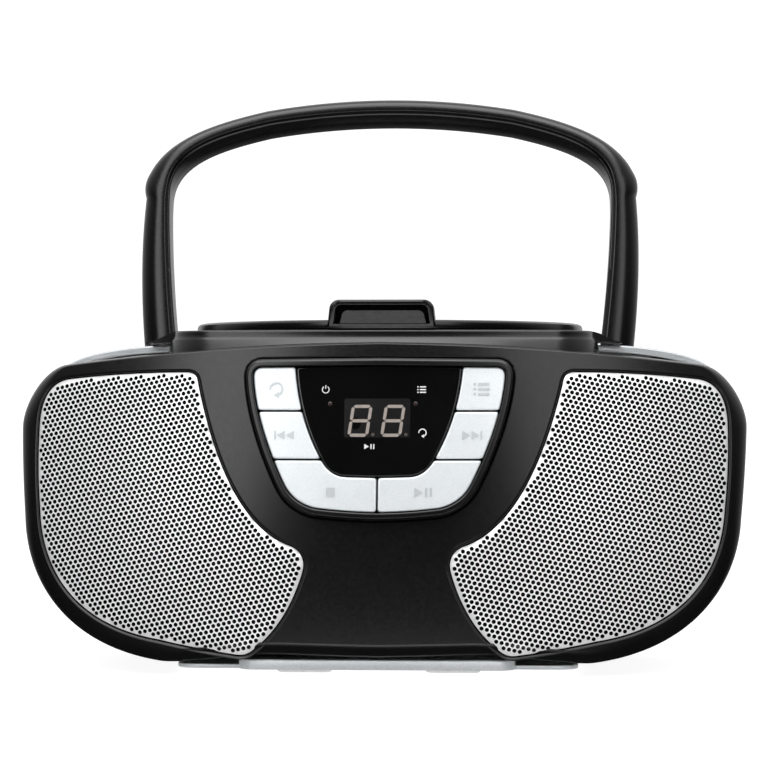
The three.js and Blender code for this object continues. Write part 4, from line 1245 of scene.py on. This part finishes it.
def handle_half(front):
    counts = (9, 26, 8, 26, 20)
    outer = handle_sections(
        [
            Path(85.8, -7.99).line(85.5, 0).array(),
            Path(85.5, 0).quad(90.4, 36, 88.4, 65.1).array(),
            Path(88.4, 65.1).quad(90.1, 70.2, 87.5, 74.8).array(),
            Path(87.5, 74.8).cubic(81.9, 87.2, 66.6, 93.7, 44.9, 98.9).array(),
            Path(44.9, 98.9).quad(22.5, 103, 0, 103).array(),
        ],
        counts,
    )
    inner = handle_sections(
        [
            Path(74, -7.99).line(73.6, 0).array(),
            Path(73.6, 0).quad(78.3, 34, 79.2, 60).array(),
            Path(79.2, 60).quad(79.25, 63, 79.2, 66).array(),
            Path(79.2, 66).cubic(78.8, 81, 63.2, 86.4, 44, 91.2).array(),
            Path(44, 91.2).quad(22.5, 95.1, 0, 95.1).array(),
        ],
        counts,
    )
    outer = np.vstack([outer, outer[-2::-1] * (-1, 1)])
    inner = np.vstack([inner, inner[-2::-1] * (-1, 1)])
    sign = -1 if front else 1
    rings = []
    for p, q in zip(inner, outer):
        across = (q - p) / np.linalg.norm(q - p)
        crest = p + across * 2.2
        reach = math.sqrt(max(0.0, ROOT_RADIUS**2 - min(0.0, p[1]) ** 2))
        ring = []
        for edge, depth, y in handle_profile():
            base = p + across * depth if edge == "in" else crest * (1 - depth) + q * depth
            ring.append((base[0], sign * max(0.1, min(y, reach)), base[1]))
        rings.append(np.array(ring))
    points, faces = loft(rings)
    if front:
        faces = [tuple(reversed(f)) for f in faces]
    word = "front" if front else "rear"
    half = mesh_object(f"handle_{word}_moulding", leaned((points, faces)))
    return finished(half, black_satin.material, "handle", "black_shell", f"handle_{word}", sharp=40)


# ---- side controls ----


def knob(side, word, body):
    """A fluted dial with a pointer."""
    flutes = 40
    turn = np.arange(flutes * 6) * 2 * math.pi / (flutes * 6)
    wave = 0.28 * np.clip(np.cos(turn * flutes), -0.4, 1)
    rings = []
    layers = [
        (3.0, 103, 0), (3.0, 110.5, 0), (14.4, 110.5, 0.2), (14.7, 110.9, 1), (14.7, 116.4, 1), (14.2, 117.5, 0.6),
        (13.4, 118.2, 0), (12.2, 118.35, 0), (11.6, 117.9, 0), (4, 117.6, 0), (0.01, 117.6, 0),
    ]
    for radius, height, share in layers:
        r = radius + wave * share
        rings.append(np.column_stack([r * np.cos(turn), r * np.sin(turn), np.full(len(turn), height)]))
    shape = along_x(loft([r[::-1] for r in rings]))
    dial = on_side(moved(shape, y=KNOB[0], z=KNOB[1]), side)
    piece(f"{word}_dial", dial, silver_paint, body, "silver_shell", body, sharp=45)
    low, high = sorted((side * 117.4, side * 118.0))
    mark = soft_block(low, high, KNOB[0] - 0.5, KNOB[0] + 0.5, KNOB[1] + 4, KNOB[1] + 11, 0.2, 0.2)
    piece(f"{word}_pointer", mark, print_dark, body, "silver_shell")


def dial_marks(side, word):
    """Printed ticks round the dial and beside the slider."""
    ticks = []
    for k in range(11):
        turn = math.radians(30 * k - 60)
        c, s = math.cos(turn), math.sin(turn)
        tick = bar(17.0, 19.4 if k % 5 == 0 else 18.5, -0.22, 0.22)
        ticks.append(tick @ np.array([(c, s), (-s, c)]) + KNOB)
    for z in (SLIDER_Z, SLIDER_Z + 10):
        ticks.append(bar(SLIDER_Y - 7.6, SLIDER_Y - 5.6, z - 0.25, z + 0.25))
    shapes = [prism_x(tick, SIDE_PANEL_X - 0.3, SIDE_PANEL_X + 0.06) for tick in ticks]
    piece(f"{word}_panel_marks", on_side(merged(*shapes), side), print_dark, "cabinet", "silver_shell")


def slider(side, body):
    loop = rounded_rectangle(SLIDER_Y - 4, SLIDER_Y + 4, SLIDER_Z - 4, SLIDER_Z + 4, 1.2)
    cap = along_x(raised(loop, [(0, 110.5), (0, 112.8), (0.2, 113.3), (0.7, 113.6)]))
    neck = block(105, 111, SLIDER_Y - 1.1, SLIDER_Y + 1.1, SLIDER_Z - 4, SLIDER_Z + 4)
    slide = mesh_object(f"{body}_cap", cap)
    for dz in (-2.2, 0, 2.2):
        groove = block(113.1, 115, SLIDER_Y - 5, SLIDER_Y + 5, SLIDER_Z + dz - 0.35, SLIDER_Z + dz + 0.35)
        carve(slide, groove)
    carve(slide, neck, operation="UNION")
    if side < 0:
        for v in slide.data.vertices:
            v.co.x = -v.co.x
        slide.data.flip_normals()
    return finished(slide, black_gloss.material, body, "black_trim", body)


# ---- antenna, feet, sockets ----


def antenna():
    x, y, z = ANTENNA
    far = x - MAST_LENGTH
    end = MAST_LENGTH + 1.2
    tube = [(2.0, 10), (2.0, 0), (2.4, 0), (2.8, 0.4), (2.8, end - 0.6), (2.4, end), (0, end)]
    tip = [(0, -5), (1.5, -4.9), (2.5, -4.2), (2.8, -3.2), (2.8, -0.9), (2.3, -0.4), (1.6, -0.3)]
    tip += [(1.6, 140), (0, 140)]
    tube, tip = (moved(along_x(turned(profile, 40)), far, y, z) for profile in (tube, tip))
    piece("mast_tube", tube, chrome, "antenna_mast", "antenna_chrome", "antenna_mast")
    piece("mast_tip", tip, chrome, "antenna_rod", "antenna_chrome", "antenna_rod")
    base = soft_block(x - 4.6, x + 5, BACK_Y + 0.4, y + 3.2, z - 4.8, z + 4.8, 1.2, 0.8)
    clevis = mesh_object("antenna_yoke", base)
    carve(clevis, block(x - 8, x + 3.6, BACK_Y - 3, y + 8, z - 3.1, z + 3.1))
    collar = [(0, BACK_Y - 4), (2, BACK_Y - 4), (2, BACK_Y + 0.4), (4, BACK_Y + 0.4), (4, y - 3.1), (0, y - 3.1)]
    collar = moved(along_y(turned(collar, 32)), x, 0, z)
    pin = moved(turned([(0, -5.2), (1.3, -5.2), (1.5, -5.0), (1.5, 5.0), (1.3, 5.2), (0, 5.2)], 24), x, y, z)
    carve(clevis, collar, pin, operation="UNION")
    finished(clevis, black_gloss.material, "antenna_base", "black_trim", "antenna_clevis")


def feet():
    sizes = (("front", 24, 26, 9, 5), ("rear", 62, 172, 9, 9))
    for row, x, y, a, b in sizes:
        for side, word in SIDES:
            centre = side * x
            layers = [(0, BASE_Z - 0.1), (0, 0.9), (0.15, 0.4), (0.6, 0), (1.6, 0), (1.9, 0.35), (4.2, 0.35)]
            loop = rounded_rectangle(centre - a, centre + a, y - b, y + b, 3, 8)
            points, faces = raised(loop, layers[::-1])
            piece(f"foot_pad_{row}_{word}", (points, faces), rubber_grey, "cabinet", "rubber", f"foot_{row}_{word}")


def sockets():
    """The mains inlet, whose two bores overlap and so are cut one by one, and the headphone jack."""
    pins_x = (56.4, 63.6)
    inlet = mesh_object("mains_inlet_body", soft_block(48, 72, 184, BACK_Y + 0.4, 77, 90, 0.8, 0.4))
    for x in pins_x:
        carve(inlet, rod_y(3.8, 189, 203, x, SOCKET_Z, 36))
    carve(inlet, block(57.4, 62.6, 188.9, BACK_Y + 3, 80.6, 86.4))
    finished(inlet, inner_black.material, "cabinet", "inner_plastic", "ac_inlet")
    pin = along_y(turned([(0, 186), (1.15, 186), (1.15, 196.4), (0.7, 197), (0, 197)], 20))
    pins = [moved(pin, x=x, z=SOCKET_Z) for x in pins_x]
    piece("mains_inlet_pins", merged(*pins), bright_steel, "cabinet", "steel")
    jack = mesh_object("headphone_jack_body", soft_block(-80, -68, 186, BACK_Y + 0.4, 78, 90, 0.8, 0.4))
    carve(jack, rod_y(1.85, 188, 203, -74, 84))
    finished(jack, inner_black.material, "cabinet", "inner_plastic", "headphone_jack")
    ring = [(1.9, 0), (3.6, 0), (3.6, 0.4), (3.3, 0.7), (2.2, 0.7), (1.9, 0.55), (1.9, 0)]
    collar = moved(along_y(turned(ring, 40)), x=-74, y=BACK_Y, z=84)
    piece("headphone_ring", collar, bright_steel, "cabinet", "steel")


# ---- studio ----


def camera():
    """A level view from a little to the right, three quarters of a metre from the front."""
    aim = np.array((1.0, 40.0, 93.0))
    turn = math.radians(2.5)
    distance = 790
    place = aim + (math.sin(turn) * distance, -math.cos(turn) * distance, 0)
    data = bpy.data.cameras.new("camera")
    data.lens = 112.3
    data.sensor_width = 36
    data.clip_start = 0.01
    obj = bpy.data.objects.new("camera", data)
    obj.location = to_world([place])[0]
    obj.rotation_euler = (math.pi / 2, 0, turn)
    bpy.context.scene.collection.objects.link(obj)
    bpy.context.scene.camera = obj


def backdrop():
    """A floor that curves up into a wall well behind the object."""
    turns = np.linspace(0, math.pi / 2, 13)
    curve = [(6000 + 900 * math.sin(t), 900 - 900 * math.cos(t)) for t in turns]
    line = [(-9000, 0), *curve, (6900, 6000)]
    points = [(x, y, z) for x in (-9000, 9000) for y, z in line]
    n = len(line)
    faces = [(i, i + n, i + n + 1, i + 1) for i in range(n - 1)]
    floor = mesh_object("studio_floor", (np.array(points, float), faces), 60)
    paper = Finish("studio paper", 0.9, specular=0.0)
    paper.colour(grey(0.38), grey(0.4), 3)
    paper.shader.inputs["Emission Color"].default_value = (1, 1, 1, 1)
    paper.shader.inputs["Emission Strength"].default_value = 0.92
    floor.data.materials.append(paper.material)
    floor.visible_glossy = False


def area_light(name, place, aim, width, height, power):
    data = bpy.data.lights.new(name, "AREA")
    data.shape = "RECTANGLE"
    data.size, data.size_y = width, height
    data.energy = power
    obj = bpy.data.objects.new(name, data)
    place, aim = np.array(place), np.array(aim)
    obj.location = place
    obj.rotation_euler = Vector(aim - place).to_track_quat("-Z", "Y").to_euler()
    obj.visible_camera = False
    bpy.context.scene.collection.objects.link(obj)


def surroundings():
    """A room that is white above and behind the object, and dark below it and behind the camera."""
    world = bpy.data.worlds.new("studio")
    world.use_nodes = True
    nodes, links = world.node_tree.nodes, world.node_tree.links
    place = nodes.new("ShaderNodeTexCoord")
    turn = nodes.new("ShaderNodeMapping")
    turn.inputs["Rotation"].default_value = (math.radians(-50), 0, 0)
    split = nodes.new("ShaderNodeSeparateXYZ")
    ramp = nodes.new("ShaderNodeValToRGB")
    spread = nodes.new("ShaderNodeMapRange")
    spread.inputs["From Min"].default_value = -1
    spread.inputs["From Max"].default_value = 1
    ramp.color_ramp.elements[0].position = 0.55
    ramp.color_ramp.elements[0].color = (0.01, 0.01, 0.01, 1)
    ramp.color_ramp.elements[1].position = 0.95
    ramp.color_ramp.elements[1].color = (1, 1, 1, 1)
    links.new(place.outputs["Generated"], turn.inputs["Vector"])
    links.new(turn.outputs["Vector"], split.inputs["Vector"])
    links.new(split.outputs["Y"], spread.inputs["Value"])
    links.new(spread.outputs["Result"], ramp.inputs["Fac"])
    links.new(ramp.outputs["Color"], nodes["Background"].inputs["Color"])
    bpy.context.scene.world = world


def studio():
    """A floor, a room and four soft lights: places and sizes in metres, powers in watts."""
    backdrop()
    surroundings()
    area_light("key", (-0.57, -0.9, 0.93), (0, 0, 0.1), 0.42, 0.82, 3.5)
    area_light("fill", (0.57, -0.9, 0.93), (0, 0, 0.1), 0.42, 0.82, 2.3)
    area_light("top", (0, -0.2, 1.3), (0, 0, 0.1), 1.4, 0.8, 15)
    area_light("front", (0, -1.35, 0.12), (0, 0, 0.08), 1.3, 0.2, 2.7)
    bpy.context.scene.view_settings.view_transform = "Standard"


# ---- everything in place ----

camera()
studio()
finish_frame()
front_shell()
control_bezel()
for side, word in SIDES:
    grille(side, word)
    grille_cloth(side, word)
for spec in BUTTONS:
    button(*spec)
display_lens()
display()
rear_cabinet()
battery_door()
screws()
top_cover()
disc_well()
turntable()
laser_sled()
lid()
disc_clamp()
handle_half(True)
handle_half(False)
knob(-1, "volume", "volume_knob")
knob(1, "tuning", "tuning_knob")
for side, word in SIDES:
    dial_marks(side, word)
slider(-1, "function_switch")
slider(1, "band_switch")
antenna()
feet()
sockets()
